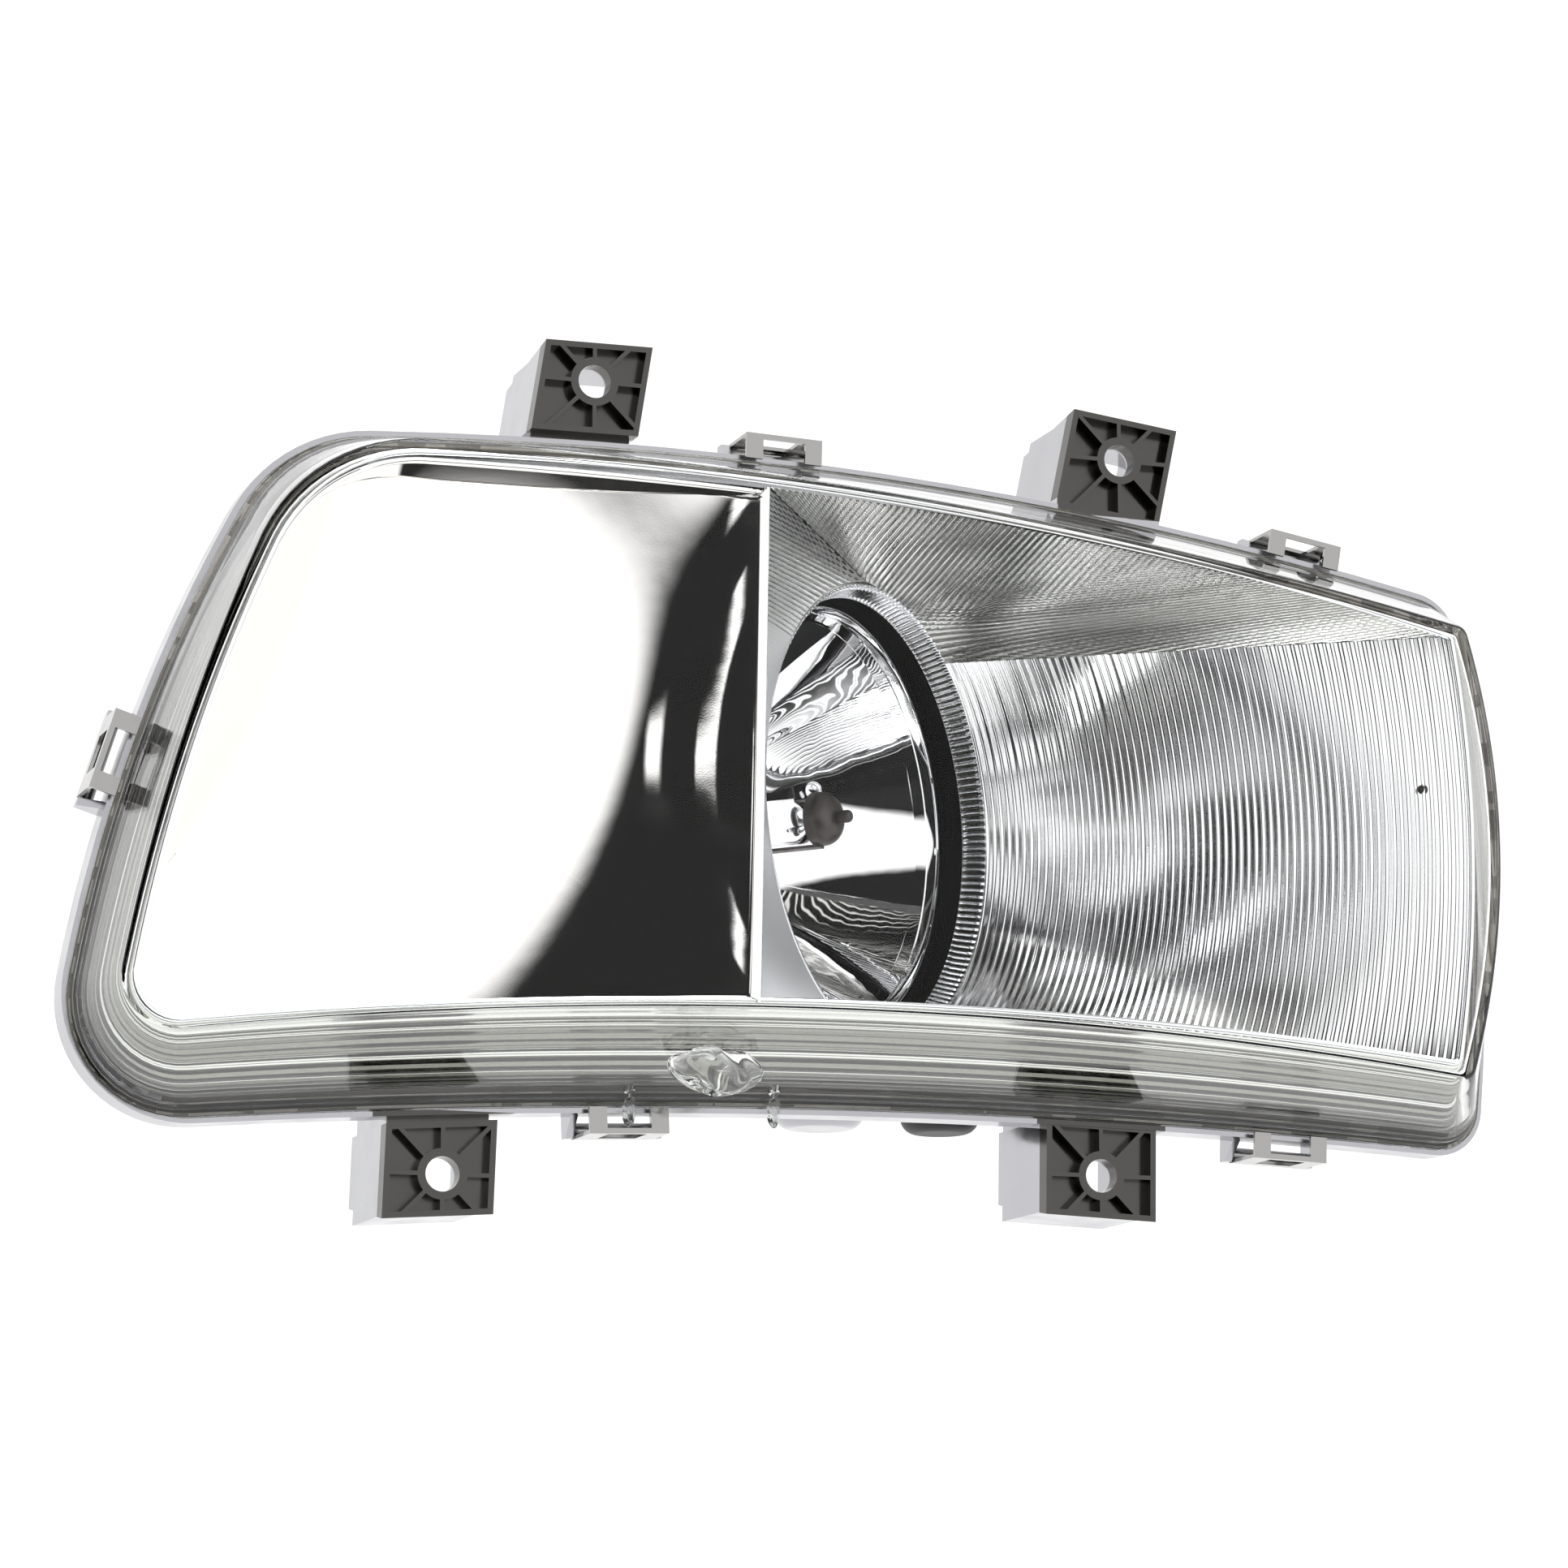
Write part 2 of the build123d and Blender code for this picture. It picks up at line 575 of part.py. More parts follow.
with BuildPart() as reflector:
    add(bowl_form(bowl_wall))
    with BuildSketch(beam(bowl_front)):
        Circle(bowl_rim_r)
    extrude(amount=-bowl_rim_thick)
    with BuildSketch(beam(collar_front)):
        Circle(bowl_rim_r)
        Circle(bowl_rim_r - collar_wall, mode=Mode.SUBTRACT)
    extrude(amount=collar_front - bowl_front)
    with BuildSketch(beam(bowl_apex - 3)):
        Circle(plate_r - 9)
    extrude(amount=bowl_apex - 3 - plate_back)
    with BuildSketch(beam(plate_back)):
        Circle(plate_r)
    extrude(amount=plate_thick)
    # tilt trunnions, the tilt stud's socket and the position bulb's seat
    for way in (-1, 1):
        with BuildSketch(Plane(origin=pivot + across * way * 66, z_dir=across * way)):
            Circle(pin_r)
        extrude(amount=15)
    add(ball_socket(tilt_stud_back, 0, tilt_stud_up, 20, 16))
    with BuildSketch(beam(66, position_side, position_up)):
        Circle(position_r + 3)
    extrude(amount=16)
    # ears for the bulb's wire clip
    for way in (-1, 1):
        with BuildSketch(beam(plate_back, way * wire_ear_out, wire_foot_up)):
            Rectangle(4, 6)
        extrude(amount=-6)
    add(bowl_form(0), mode=Mode.SUBTRACT)
    add(ball_channel(tilt_stud_back, 0, tilt_stud_up, 20, 1.3), mode=Mode.SUBTRACT)
    with BuildSketch(beam(plate_back + 1)):
        Circle(bowl_hole_r)
    extrude(amount=30, mode=Mode.SUBTRACT)
    with BuildSketch(beam(67, position_side, position_up)):
        Circle(position_r)
    extrude(amount=30, mode=Mode.SUBTRACT)
    wire_axis = Plane(origin=beam(wire_back, 0, wire_foot_up).origin, x_dir=(0, 0, 1), z_dir=across)
    with BuildSketch(wire_axis):
        Circle(wire_r + slip)
    extrude(amount=wire_ear_out + 4, both=True, mode=Mode.SUBTRACT)
reflector.part.label = "reflector"
export_step(reflector.part, "parts/reflector.step")

# ---- bulb and what holds it ---------------------------------------------------------------------
with BuildPart() as bulb_base:
    with BuildSketch(beam(plate_back)):
        Circle(flange_r)
    extrude(amount=-flange_thick)
    with BuildSketch(beam(plate_back)):
        Circle(bowl_hole_r - 0.2)
    extrude(amount=16)
    with BuildSketch(beam(plate_back + flange_thick)):
        Circle(11)
    extrude(amount=-5)
    base_back = plate_back + flange_thick + 5
    for spot, turn in blade_spots:
        with BuildSketch(beam(base_back)):
            with Locations(Location((*spot, 0), turn)):
                Rectangle(blade[0], blade[1])
        extrude(amount=-blade[2])
bulb_base.part.label = "bulb_base"
export_step(bulb_base.part, "parts/bulb_base.step")

base_front = plate_back - 16
with BuildPart() as bulb_glass:
    with BuildSketch(beam(base_front)):
        Circle(glass_r)
    extrude(amount=base_front - glass_front + 6)
    fillet(bulb_glass.faces().sort_by(Axis(ring_centre, axis))[-1].edges(), 6)
bulb_glass.part.label = "bulb_glass"
export_step(bulb_glass.part, "parts/bulb_glass.step")

with BuildPart() as bulb_shield:
    with BuildSketch(beam(shield_back)):
        Circle(shield_r)
    extrude(amount=shield_back - shield_front)
    fillet(bulb_shield.faces().sort_by(Axis(ring_centre, axis))[-1].edges(), 6)
    with BuildSketch(beam(shield_back)):
        Circle(shield_r - shield_wall)
    extrude(amount=shield_back - shield_front - shield_cap, mode=Mode.SUBTRACT)
    with BuildSketch(beam(shield_front + 1)):
        Circle(nub_r)
    extrude(amount=1 + nub_length)
    fillet(bulb_shield.faces().sort_by(Axis(ring_centre, axis))[-1].edges(), nub_r * 0.8)
    # the strap that carries it from the base
    with BuildSketch(beam(shield_back - 2)):
        with Locations((0, -shield_r - 0.2)):
            Rectangle(4, 1)
    extrude(amount=shield_back - 2 - base_front)
bulb_shield.part.label = "bulb_shield"
export_step(bulb_shield.part, "parts/bulb_shield.step")

plug_front, plug_back = base_back + 0.5, base_back + 0.5 + plug_length
with BuildPart() as bulb_plug:
    with BuildSketch(beam(plug_front)):
        RectangleRounded(*plug_size, 3)
    extrude(amount=plug_front - plug_back)
    for spot, turn in blade_spots:
        with BuildSketch(beam(plug_front)):
            with Locations(Location((*spot, 0), turn)):
                Rectangle(blade[0] + 0.4, blade[1] + 0.4)
        extrude(amount=-blade[2], mode=Mode.SUBTRACT)
bulb_plug.part.label = "bulb_plug"
export_step(bulb_plug.part, "parts/bulb_plug.step")

with BuildPart() as bulb_wire_clip:
    leg, foot_out = wire_leg_out, wire_ear_out + 3
    with BuildLine(beam(wire_back)) as wire_path:
        FilletPolyline(
            (-foot_out, wire_foot_up),
            (-leg, wire_foot_up),
            (-leg, wire_top_up),
            (leg, wire_top_up),
            (leg, wire_foot_up),
            (foot_out, wire_foot_up),
            radius=1.6,
        )
    with BuildSketch(Plane(origin=wire_path.wire() @ 0, z_dir=wire_path.wire() % 0)):
        Circle(wire_r)
    sweep()
bulb_wire_clip.part.label = "bulb_wire_clip"
export_step(bulb_wire_clip.part, "parts/bulb_wire_clip.step")

with BuildPart() as position_holder:
    with BuildSketch(beam(position_back, position_side, position_up)):
        Circle(position_r + 2.5)
    extrude(amount=-4)
    with BuildSketch(beam(position_back, position_side, position_up)):
        Circle(position_r - 0.1)
    extrude(amount=10)
position_holder.part.label = "position_holder"
export_step(position_holder.part, "parts/position_holder.step")

with BuildPart() as position_bulb:
    with BuildSketch(beam(position_back - 10, position_side, position_up)):
        Circle(3.2)
    extrude(amount=8)
    fillet(position_bulb.faces().sort_by(Axis(ring_centre, axis))[-1].edges(), 2.8)
position_bulb.part.label = "position_bulb"
export_step(position_bulb.part, "parts/position_bulb.step")

# ---- aiming screws and studs --------------------------------------------------------------------
def aim_stud(name, ball_back, side, up, end_back):
    """A threaded stud with a ball on its front end."""
    with BuildPart() as stud:
        with BuildSketch(beam(ball_back, side, up)):
            Circle(stud_r)
        extrude(amount=ball_back - end_back)
        with Locations(beam(ball_back, side, up).origin):
            Sphere(ball_r)
    stud.part.label = name
    export_step(stud.part, f"parts/{name}.step")


def aim_screw(name, boss_back, side, up, front, stud_end):
    """A sleeve that turns in its boss and drives the stud inside it, with a fluted knob behind."""
    with BuildPart() as screw:
        with BuildSketch(beam(boss_back + knob_gap, side, up)):
            Circle(sleeve_r)
        extrude(amount=boss_back + knob_gap - front)
        with BuildSketch(beam(boss_back + knob_gap, side, up)):
            Circle(knob_r)
            with PolarLocations(knob_r + 0.6, 10):
                Circle(1.6, mode=Mode.SUBTRACT)
        extrude(amount=-knob_length)
        with BuildSketch(beam(front - 1, side, up)):
            Circle(stud_r + slip)
        extrude(amount=front - 1 - stud_end - 5, mode=Mode.SUBTRACT)
    screw.part.label = name
    export_step(screw.part, f"parts/{name}.step")


aim_stud("tilt_stud", tilt_stud_back, 0, tilt_stud_up, tilt_boss_back - 6)
aim_screw("tilt_screw", tilt_boss_back, 0, tilt_stud_up, 58, tilt_boss_back - 6)
aim_stud("swing_stud", swing_stud_back, swing_stud_out, swing_stud_up, swing_boss_back - 6)
aim_screw("swing_screw", swing_boss_back, swing_stud_out, swing_stud_up, 53, swing_boss_back - 6)

# ---- rear cap and its seal ----------------------------------------------------------------------
seal_thick = 1.5
cap_front = tower_back + seal_thick
plug_outer_r = tower_r - 2 * wall - 0.6

with BuildPart() as rear_cap:
    with BuildSketch(beam(cap_front)):
        Circle(tower_r + 3)
    extrude(amount=-3)
    with BuildSketch(beam(cap_front)):
        Circle(plug_outer_r)
        Circle(plug_outer_r - wall, mode=Mode.SUBTRACT)
    extrude(amount=15)
    add(bayonet_teeth(tower_back - 3.3, 3.2, plug_outer_r - 1, tower_r - wall - 0.5, 0))
    with BuildSketch(beam(cap_front + 3)):
        SlotOverall(76, 9)
    extrude(amount=-8)
    with BuildSketch(beam(cap_front + 3)):
        with PolarLocations(tower_r + 2, 24):
            Circle(1.5)
    extrude(amount=3)
rear_cap.part.label = "rear_cap"
export_step(rear_cap.part, "parts/rear_cap.step")

with BuildPart() as cap_seal:
    with BuildSketch(beam(tower_back)):
        Circle(tower_r)
        Circle(tower_r - wall, mode=Mode.SUBTRACT)
    extrude(amount=-seal_thick)
cap_seal.part.label = "cap_seal"
export_step(cap_seal.part, "parts/cap_seal.step")

# ---- vent boot, inlet and bezel screws ----------------------------------------------------------
with BuildPart() as vent_boot:
    with BuildSketch(Plane.XY.offset(boot_end)):
        with Locations(boot_spot):
            Circle(boot_r)
    extrude(amount=11)
    fillet(vent_boot.faces().sort_by(Axis.Z)[0].edges(), 5.5)
    with BuildSketch(Plane.XY.offset(boot_end + 6)):
        with Locations(boot_spot):
            Circle(vent_pipe_r)
    extrude(amount=20, mode=Mode.SUBTRACT)
vent_boot.part.label = "vent_boot"
export_step(vent_boot.part, "parts/vent_boot.step")

with BuildPart() as inlet:
    with BuildSketch(Plane.XZ.offset(-back_depth)):
        with Locations(inlet_spot):
            RectangleRounded(inlet_size[0] + 8, inlet_size[1] + 8, 3)
    extrude(amount=-2.5)
    with BuildSketch(Plane.XZ.offset(-back_depth)):
        with Locations(inlet_spot):
            RectangleRounded(*inlet_size, 2.5)
    extrude(amount=-22)
    with BuildSketch(Plane.XZ.offset(-back_depth - 4)):
        with Locations(inlet_spot):
            RectangleRounded(inlet_size[0] - 4, inlet_size[1] - 4, 1.5)
    extrude(amount=-20, mode=Mode.SUBTRACT)
    with BuildSketch(Plane.XZ.offset(-back_depth - 3)):
        with Locations(inlet_spot):
            with GridLocations(9, 8, 3, 2):
                Rectangle(2.8, 0.8)
    extrude(amount=-14)
inlet.part.label = "inlet"
export_step(inlet.part, "parts/inlet.step")
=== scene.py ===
# %% [markdown]
# A right-hand headlamp unit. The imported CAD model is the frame: it says where each piece is and which body
# it moves with. This script gives each piece its finish, and rebuilds the optical surfaces (lens, bezel,
# funnel, trim ring, bowl) as fine grids, because flutes, knurling and facets are what make a lamp glitter.

# %% Load the frame
import json
import math

import bmesh
import bpy
import numpy as np
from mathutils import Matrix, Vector


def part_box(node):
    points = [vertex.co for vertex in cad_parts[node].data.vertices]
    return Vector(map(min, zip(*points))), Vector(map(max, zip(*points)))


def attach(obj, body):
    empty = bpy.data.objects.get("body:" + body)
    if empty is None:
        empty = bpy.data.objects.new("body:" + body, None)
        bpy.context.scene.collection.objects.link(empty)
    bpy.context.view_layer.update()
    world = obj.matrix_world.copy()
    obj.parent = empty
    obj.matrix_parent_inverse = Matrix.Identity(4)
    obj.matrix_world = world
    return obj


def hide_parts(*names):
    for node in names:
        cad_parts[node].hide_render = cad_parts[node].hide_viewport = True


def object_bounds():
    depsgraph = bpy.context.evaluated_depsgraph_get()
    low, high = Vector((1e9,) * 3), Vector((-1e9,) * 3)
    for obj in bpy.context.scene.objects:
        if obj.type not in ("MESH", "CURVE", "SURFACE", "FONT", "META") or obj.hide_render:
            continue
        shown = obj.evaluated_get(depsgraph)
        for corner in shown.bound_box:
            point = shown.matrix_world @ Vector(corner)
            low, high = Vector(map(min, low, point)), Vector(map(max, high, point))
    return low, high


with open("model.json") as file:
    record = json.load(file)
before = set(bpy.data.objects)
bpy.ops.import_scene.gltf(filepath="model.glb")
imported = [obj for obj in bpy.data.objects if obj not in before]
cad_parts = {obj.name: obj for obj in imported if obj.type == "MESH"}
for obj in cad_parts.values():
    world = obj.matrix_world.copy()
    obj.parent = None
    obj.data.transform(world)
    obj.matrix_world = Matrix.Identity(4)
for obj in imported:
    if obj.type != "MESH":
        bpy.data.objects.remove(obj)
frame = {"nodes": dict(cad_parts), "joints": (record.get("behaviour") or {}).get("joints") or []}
nodes = frame["nodes"]
cad_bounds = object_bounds()
MM = 0.001
joints = {j["name"]: j for j in frame["joints"]}

# %% [markdown]
# Every optical piece is laid out about the beam. The beam runs forward along the rear cap's own axis, and
# the round opening's centre is half a ring's depth in front of the middle of the trim ring's box.

# %% The beam's own directions
forward = np.array(joints["rear_cap_turn"]["axis"])
across = np.array([-forward[1], forward[0], 0.0])
upward = np.array([0.0, 0.0, 1.0])
RING_DEPTH = 8.0
ring_low, ring_high = (np.array(corner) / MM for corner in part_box("trim_ring"))
ring_centre = (ring_low + ring_high) / 2 + forward * RING_DEPTH / 2
print("round opening at", ring_centre.round(1))


def beam_point(back, side, up):
    """Points so far behind the round opening, to its side and above it, from arrays of any one shape."""
    back, side, up = (np.asarray(a, float)[..., None] for a in (back, side, up))
    return ring_centre - forward * back + across * side + upward * up


# %% [markdown]
# A grid surface is the plainest way to make a shape from a formula: rows and columns of points, joined by
# squares. It may close on itself along either direction, as a ring or a bowl does.

# %% Grid to mesh
def grid_mesh(name, points, wrap_rows=False, wrap_cols=False, flip=False, smooth=True):
    """A mesh of squares on points[row, column], in millimetres; coinciding points at a pole are left for
    merge_poles.
    """
    rows, cols = points.shape[:2]
    r = np.arange(rows if wrap_rows else rows - 1)[:, None]
    c = np.arange(cols if wrap_cols else cols - 1)[None, :]
    r2, c2 = (r + 1) % rows, (c + 1) % cols
    quads = np.stack([r * cols + c, r * cols + c2, r2 * cols + c2, r2 * cols + c], -1).reshape(-1, 4)
    if flip:
        quads = quads[:, ::-1]
    mesh = bpy.data.meshes.new(name)
    mesh.from_pydata((points.reshape(-1, 3) * MM).tolist(), [], quads.tolist())
    if smooth:
        mesh.polygons.foreach_set("use_smooth", np.ones(len(quads), bool))
    mesh.update()
    return mesh


def merge_poles(mesh):
    """Merges points that coincide and drops the squares that this folds up."""
    work = bmesh.new()
    work.from_mesh(mesh)
    bmesh.ops.remove_doubles(work, verts=work.verts, dist=1e-7)
    bmesh.ops.dissolve_degenerate(work, edges=work.edges, dist=1e-8)
    work.to_mesh(mesh)
    work.free()


def place(mesh, material, body, replaced=()):
    """A finished mesh as a piece of the lamp: its finish, body, and the nodes it replaces."""
    piece = bpy.data.objects.new(mesh.name, mesh)
    bpy.context.scene.collection.objects.link(piece)
    mesh.materials.append(material)
    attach(piece, body)
    for node in replaced:
        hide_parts(node)
    print(mesh.name, len(mesh.polygons), "faces")
    return piece


def thicken(piece, wall, offset=-1.0):
    """Gives a sheet its moulded wall, away from the side its faces look to."""
    solid = piece.modifiers.new("wall", "SOLIDIFY")
    solid.thickness, solid.offset, solid.use_rim = wall * MM, offset, True
    return piece


def shade_faces(piece, material, chosen):
    """Gives the chosen faces of a piece a second material; chosen has a truth value for each face."""
    piece.data.materials.append(material)
    piece.data.polygons.foreach_set("material_index", np.asarray(chosen).reshape(-1).astype(np.int32))


# %% [markdown]
# The lamp's outline has four bowed sides and four rounded corners, at the flange and again, smaller, at
# the lens's front. Each side is the circle through three points, and each corner a circular arc written as
# a weighted curve, so the same number of points lands on every outline and they can be joined one to one.

# %% Outlines
FLANGE = dict(corners=[(-130, 8), (371, 19), (366, 216), (-58, 240)],
              middles=[(120, 24), (376, 118), (153, 244), (-108, 127)], radii=[40, 17, 18, 55])
FRONT = dict(corners=[(-117, 36), (343, 41), (345, 194), (-60, 226)],
             middles=[(130, 50), (356, 117), (142, 223), (-97, 131)], radii=[15, 4, 4, 63])
BEZEL = dict(corners=[(-113, 37), (344, 46), (345, 194), (-54, 224)],
             middles=[(115, 55.5), (351, 117), (150, 224), (-92, 131)], radii=[14, 3, 3, 58])
FRONT_DEPTH, BEZEL_DEPTH = 52.0, 40.0
RIDGE_TOP, RIDGE_FOOT = np.array([95.5, 224.5]), np.array([92.5, 54.0])
CORNER_STEPS = np.array([(1, 1), (-1, 1), (-1, -1), (1, -1)])
MIDDLE_STEPS = np.array([(0, 1), (-1, 0), (0, -1), (1, 0)])


def arc_through(a, m, b, t):
    """Points at shares t of the arc from a over m to b."""
    a, m, b = (np.asarray(p, float) for p in (a, m, b))
    d = 2 * (a[0] * (m[1] - b[1]) + m[0] * (b[1] - a[1]) + b[0] * (a[1] - m[1]))
    if abs(d) < 1e-6:
        return a + (b - a) * t[:, None]
    sq = [p @ p for p in (a, m, b)]
    cx = (sq[0] * (m[1] - b[1]) + sq[1] * (b[1] - a[1]) + sq[2] * (a[1] - m[1])) / d
    cy = (sq[0] * (b[0] - m[0]) + sq[1] * (a[0] - b[0]) + sq[2] * (m[0] - a[0])) / d
    c = np.array([cx, cy])
    angles = np.unwrap([math.atan2(*(p - c)[::-1]) for p in (a, m, b)])
    turn = angles[0] + (angles[2] - angles[0]) * t
    return c + np.hypot(*(a - c)) * np.stack([np.cos(turn), np.sin(turn)], -1)


ARC_STEPS = 399


def outline(corners, middles, radii, inset=0.0, side_points=40, corner_points=12):
    """The closed outline: for each corner its arc, then the side that follows it."""
    corners = np.array(corners, float) + inset * CORNER_STEPS
    middles = np.array(middles, float) + inset * MIDDLE_STEPS
    radii = np.maximum(np.array(radii, float) - inset, 0.6)
    fine = np.linspace(0, 1, ARC_STEPS + 1)
    sides = [arc_through(corners[i], middles[i], corners[(i + 1) % 4], fine) for i in range(4)]
    cut = []
    for i in range(4):
        into, out = sides[i - 1][-2] - corners[i], sides[i][1] - corners[i]
        cosine = into @ out / np.hypot(*into) / np.hypot(*out)
        cut.append((radii[i] / math.tan(math.acos(cosine) / 2), math.sin(math.acos(cosine) / 2)))
    pieces = []
    for i in range(4):
        before, after = sides[i - 1], sides[i]
        length_before = np.hypot(*(before[-1] - before[0]))
        length_after = np.hypot(*(after[-1] - after[0]))
        start = before[int(round(ARC_STEPS * (1 - cut[i][0] / length_before)))]
        end = after[int(round(ARC_STEPS * cut[i][0] / length_after))]
        t = np.linspace(0, 1, corner_points, endpoint=False)[:, None]
        w = cut[i][1]
        weights = (1 - t) ** 2 + 2 * w * t * (1 - t) + t**2
        pieces.append(((1 - t) ** 2 * start + 2 * w * t * (1 - t) * corners[i] + t**2 * end) / weights)
        j = (i + 1) % 4
        first = int(round(ARC_STEPS * cut[i][0] / length_after))
        last = int(round(ARC_STEPS * (1 - cut[j][0] / length_after)))
        share = np.linspace(first, last, side_points, endpoint=False).astype(int)
        pieces.append(after[share])
    return np.concatenate(pieces)


def at_depth(flat, depth):
    """Flat outline points (X, Z) as points of space, so far in front of the mounting plane."""
    depth = np.broadcast_to(depth, flat.shape[:-1])
    return np.stack([flat[..., 0], -depth, flat[..., 1]], -1)


# %% [markdown]
# Finishes. Vacuum-metallised plastic is a mirror with a very slight orange peel, so its colour is near
# white, its roughness is low, and a faint large noise bends the reflections. Where the mould was blasted
# the same metal is satin and sparkles, which a fine noise in the bump gives.

# %% Materials
def finish(name, color, metallic=0.0, roughness=0.4, **sockets):
    """A Principled material with its uniform values set on the shader's own sockets."""
    material = bpy.data.materials.new(name)
    material.use_nodes = True
    shader = material.node_tree.nodes["Principled BSDF"]
    shader.inputs["Base Color"].default_value = (*color, 1)
    shader.inputs["Metallic"].default_value = metallic
    shader.inputs["Roughness"].default_value = roughness
    for socket, value in sockets.items():
        shader.inputs[socket.replace("_", " ")].default_value = value
    return material


def maths(tree, operation, *values):
    """A Math node on numbers or sockets; gives its output."""
    node = tree.nodes.new("ShaderNodeMath")
    node.operation = operation
    for socket, value in zip(node.inputs, values):
        if hasattr(value, "is_output"):
            tree.links.new(value, socket)
        else:
            socket.default_value = value
    return node.outputs[0]


def split(tree, vector):
    """The X, Y and Z of a vector."""
    node = tree.nodes.new("ShaderNodeSeparateXYZ")
    tree.links.new(vector, node.inputs[0])
    return node.outputs


def relief(material, scale, distance, strength=1.0, detail=2.0, stretch=(1, 1, 1)):
    """Adds a noise bump to a material, on Object coordinates; scale is per metre, distance in millimetres."""
    tree = material.node_tree
    shader = tree.nodes["Principled BSDF"]
    where = tree.nodes.new("ShaderNodeTexCoord")
    mapping = tree.nodes.new("ShaderNodeMapping")
    mapping.inputs["Scale"].default_value = stretch
    noise = tree.nodes.new("ShaderNodeTexNoise")
    noise.inputs["Scale"].default_value = scale
    noise.inputs["Detail"].default_value = detail
    bump = tree.nodes.new("ShaderNodeBump")
    bump.inputs["Distance"].default_value = distance * MM
    bump.inputs["Strength"].default_value = strength
    tree.links.new(where.outputs["Object"], mapping.inputs["Vector"])
    tree.links.new(mapping.outputs["Vector"], noise.inputs["Vector"])
    tree.links.new(noise.outputs["Fac"], bump.inputs["Height"])
    below = shader.inputs["Normal"].links
    if below:
        tree.links.new(below[0].from_socket, bump.inputs["Normal"])
    tree.links.new(bump.outputs["Normal"], shader.inputs["Normal"])
    return material


def mottled(material, low, high, scale):
    """Lets the roughness wander between two values, as handling and moulding leave it."""
    tree = material.node_tree
    where = tree.nodes.new("ShaderNodeTexCoord")
    noise = tree.nodes.new("ShaderNodeTexNoise")
    noise.inputs["Scale"].default_value = scale
    noise.inputs["Detail"].default_value = 4
    spread = tree.nodes.new("ShaderNodeMapRange")
    spread.inputs["From Min"].default_value, spread.inputs["From Max"].default_value = 0.35, 0.65
    spread.inputs["To Min"].default_value, spread.inputs["To Max"].default_value = low, high
    tree.links.new(where.outputs["Object"], noise.inputs["Vector"])
    tree.links.new(noise.outputs["Fac"], spread.inputs["Value"])
    tree.links.new(spread.outputs["Result"], tree.nodes["Principled BSDF"].inputs["Roughness"])
    return material


BOLT_HOLES = [(0, 0), (229.4, 8.1), (48.9, 266.7), (239.5, 256.7)]
PAD_HALF, PAD_SQUASH, PAD_REACH = 23.5, 1.15, 6.0


def painted_pad_reflections(material, color):
    """Paints a dark reflection on the mounting pads: near a bolt hole, the faces that look fore or aft or lie
    well forward.
    """
    tree = material.node_tree
    shader, mix = tree.nodes["Principled BSDF"], tree.nodes.new("ShaderNodeMix")
    spot = split(tree, tree.nodes.new("ShaderNodeTexCoord").outputs["Object"])
    normal = split(tree, tree.nodes.new("ShaderNodeNewGeometry").outputs["True Normal"])
    near = 0.0
    for x, z in BOLT_HOLES:
        beside = maths(tree, "ABSOLUTE", maths(tree, "SUBTRACT", spot[0], x * MM))
        above = maths(tree, "ABSOLUTE", maths(tree, "SUBTRACT", spot[2], z * MM))
        off = maths(tree, "MAXIMUM", beside, maths(tree, "MULTIPLY", above, PAD_SQUASH))
        near = maths(tree, "MAXIMUM", near, maths(tree, "LESS_THAN", off, PAD_HALF * MM))
    facing = maths(tree, "GREATER_THAN", maths(tree, "ABSOLUTE", normal[1]), 0.5)
    forward_part = maths(tree, "LESS_THAN", spot[1], PAD_REACH * MM)
    tree.links.new(maths(tree, "MULTIPLY", near, maths(tree, "MAXIMUM", facing, forward_part)), mix.inputs[0])
    mix.data_type = "RGBA"
    mix.inputs[6].default_value = shader.inputs["Base Color"].default_value
    mix.inputs[7].default_value = (*color, 1)
    tree.links.new(mix.outputs[2], shader.inputs["Base Color"])
    return material


pan_chrome = relief(finish("pan chrome", (0.93, 0.92, 0.90), 1.0, 0.025), 55, 0.05, 0.5)
relief(pan_chrome, 1800, 0.004, 0.35)
flute_chrome = relief(finish("flute chrome", (0.96, 0.965, 0.97), 1.0, 0.12), 200, 0.008, 0.5)
satin_chrome = relief(finish("satin chrome", (0.80, 0.81, 0.83), 1.0, 0.34), 2400, 0.03, 0.8)
# painted shade and a painted grey reflection for the fluted funnel walls, darker than their chrome
flute_painted_shade = finish("flute painted shade", (0.30, 0.30, 0.28), 1.0, 0.18)
flute_painted_grey_reflection = finish("flute painted grey reflection", (0.66, 0.66, 0.63), 1.0, 0.14)
bowl_chrome = relief(finish("bowl chrome", (0.95, 0.95, 0.96), 1.0, 0.015), 60, 0.12, 0.6)
ring_chrome = relief(finish("ring chrome", (0.90, 0.91, 0.93), 1.0, 0.07), 300, 0.01, 0.4)
# bright, grey and dark metals for painted reflections and painted shade, and the dark one for the two dark
# spots
painted_light_and_spot_tones = [finish(name, color, 1.0, 0.16) for name, color in (
    ("bright liner painted reflection", (0.88, 0.88, 0.86)),
    ("grey liner painted reflection", (0.30, 0.30, 0.27)),
    ("dark painted shade and spot", (0.07, 0.07, 0.06)),
)]
BRIGHT, GREY, DARK = range(3)
housing_metal = mottled(finish("metallised housing", (0.44, 0.44, 0.46), 0.95, 0.22), 0.14, 0.26, 60)
relief(housing_metal, 420, 0.02, 0.5)
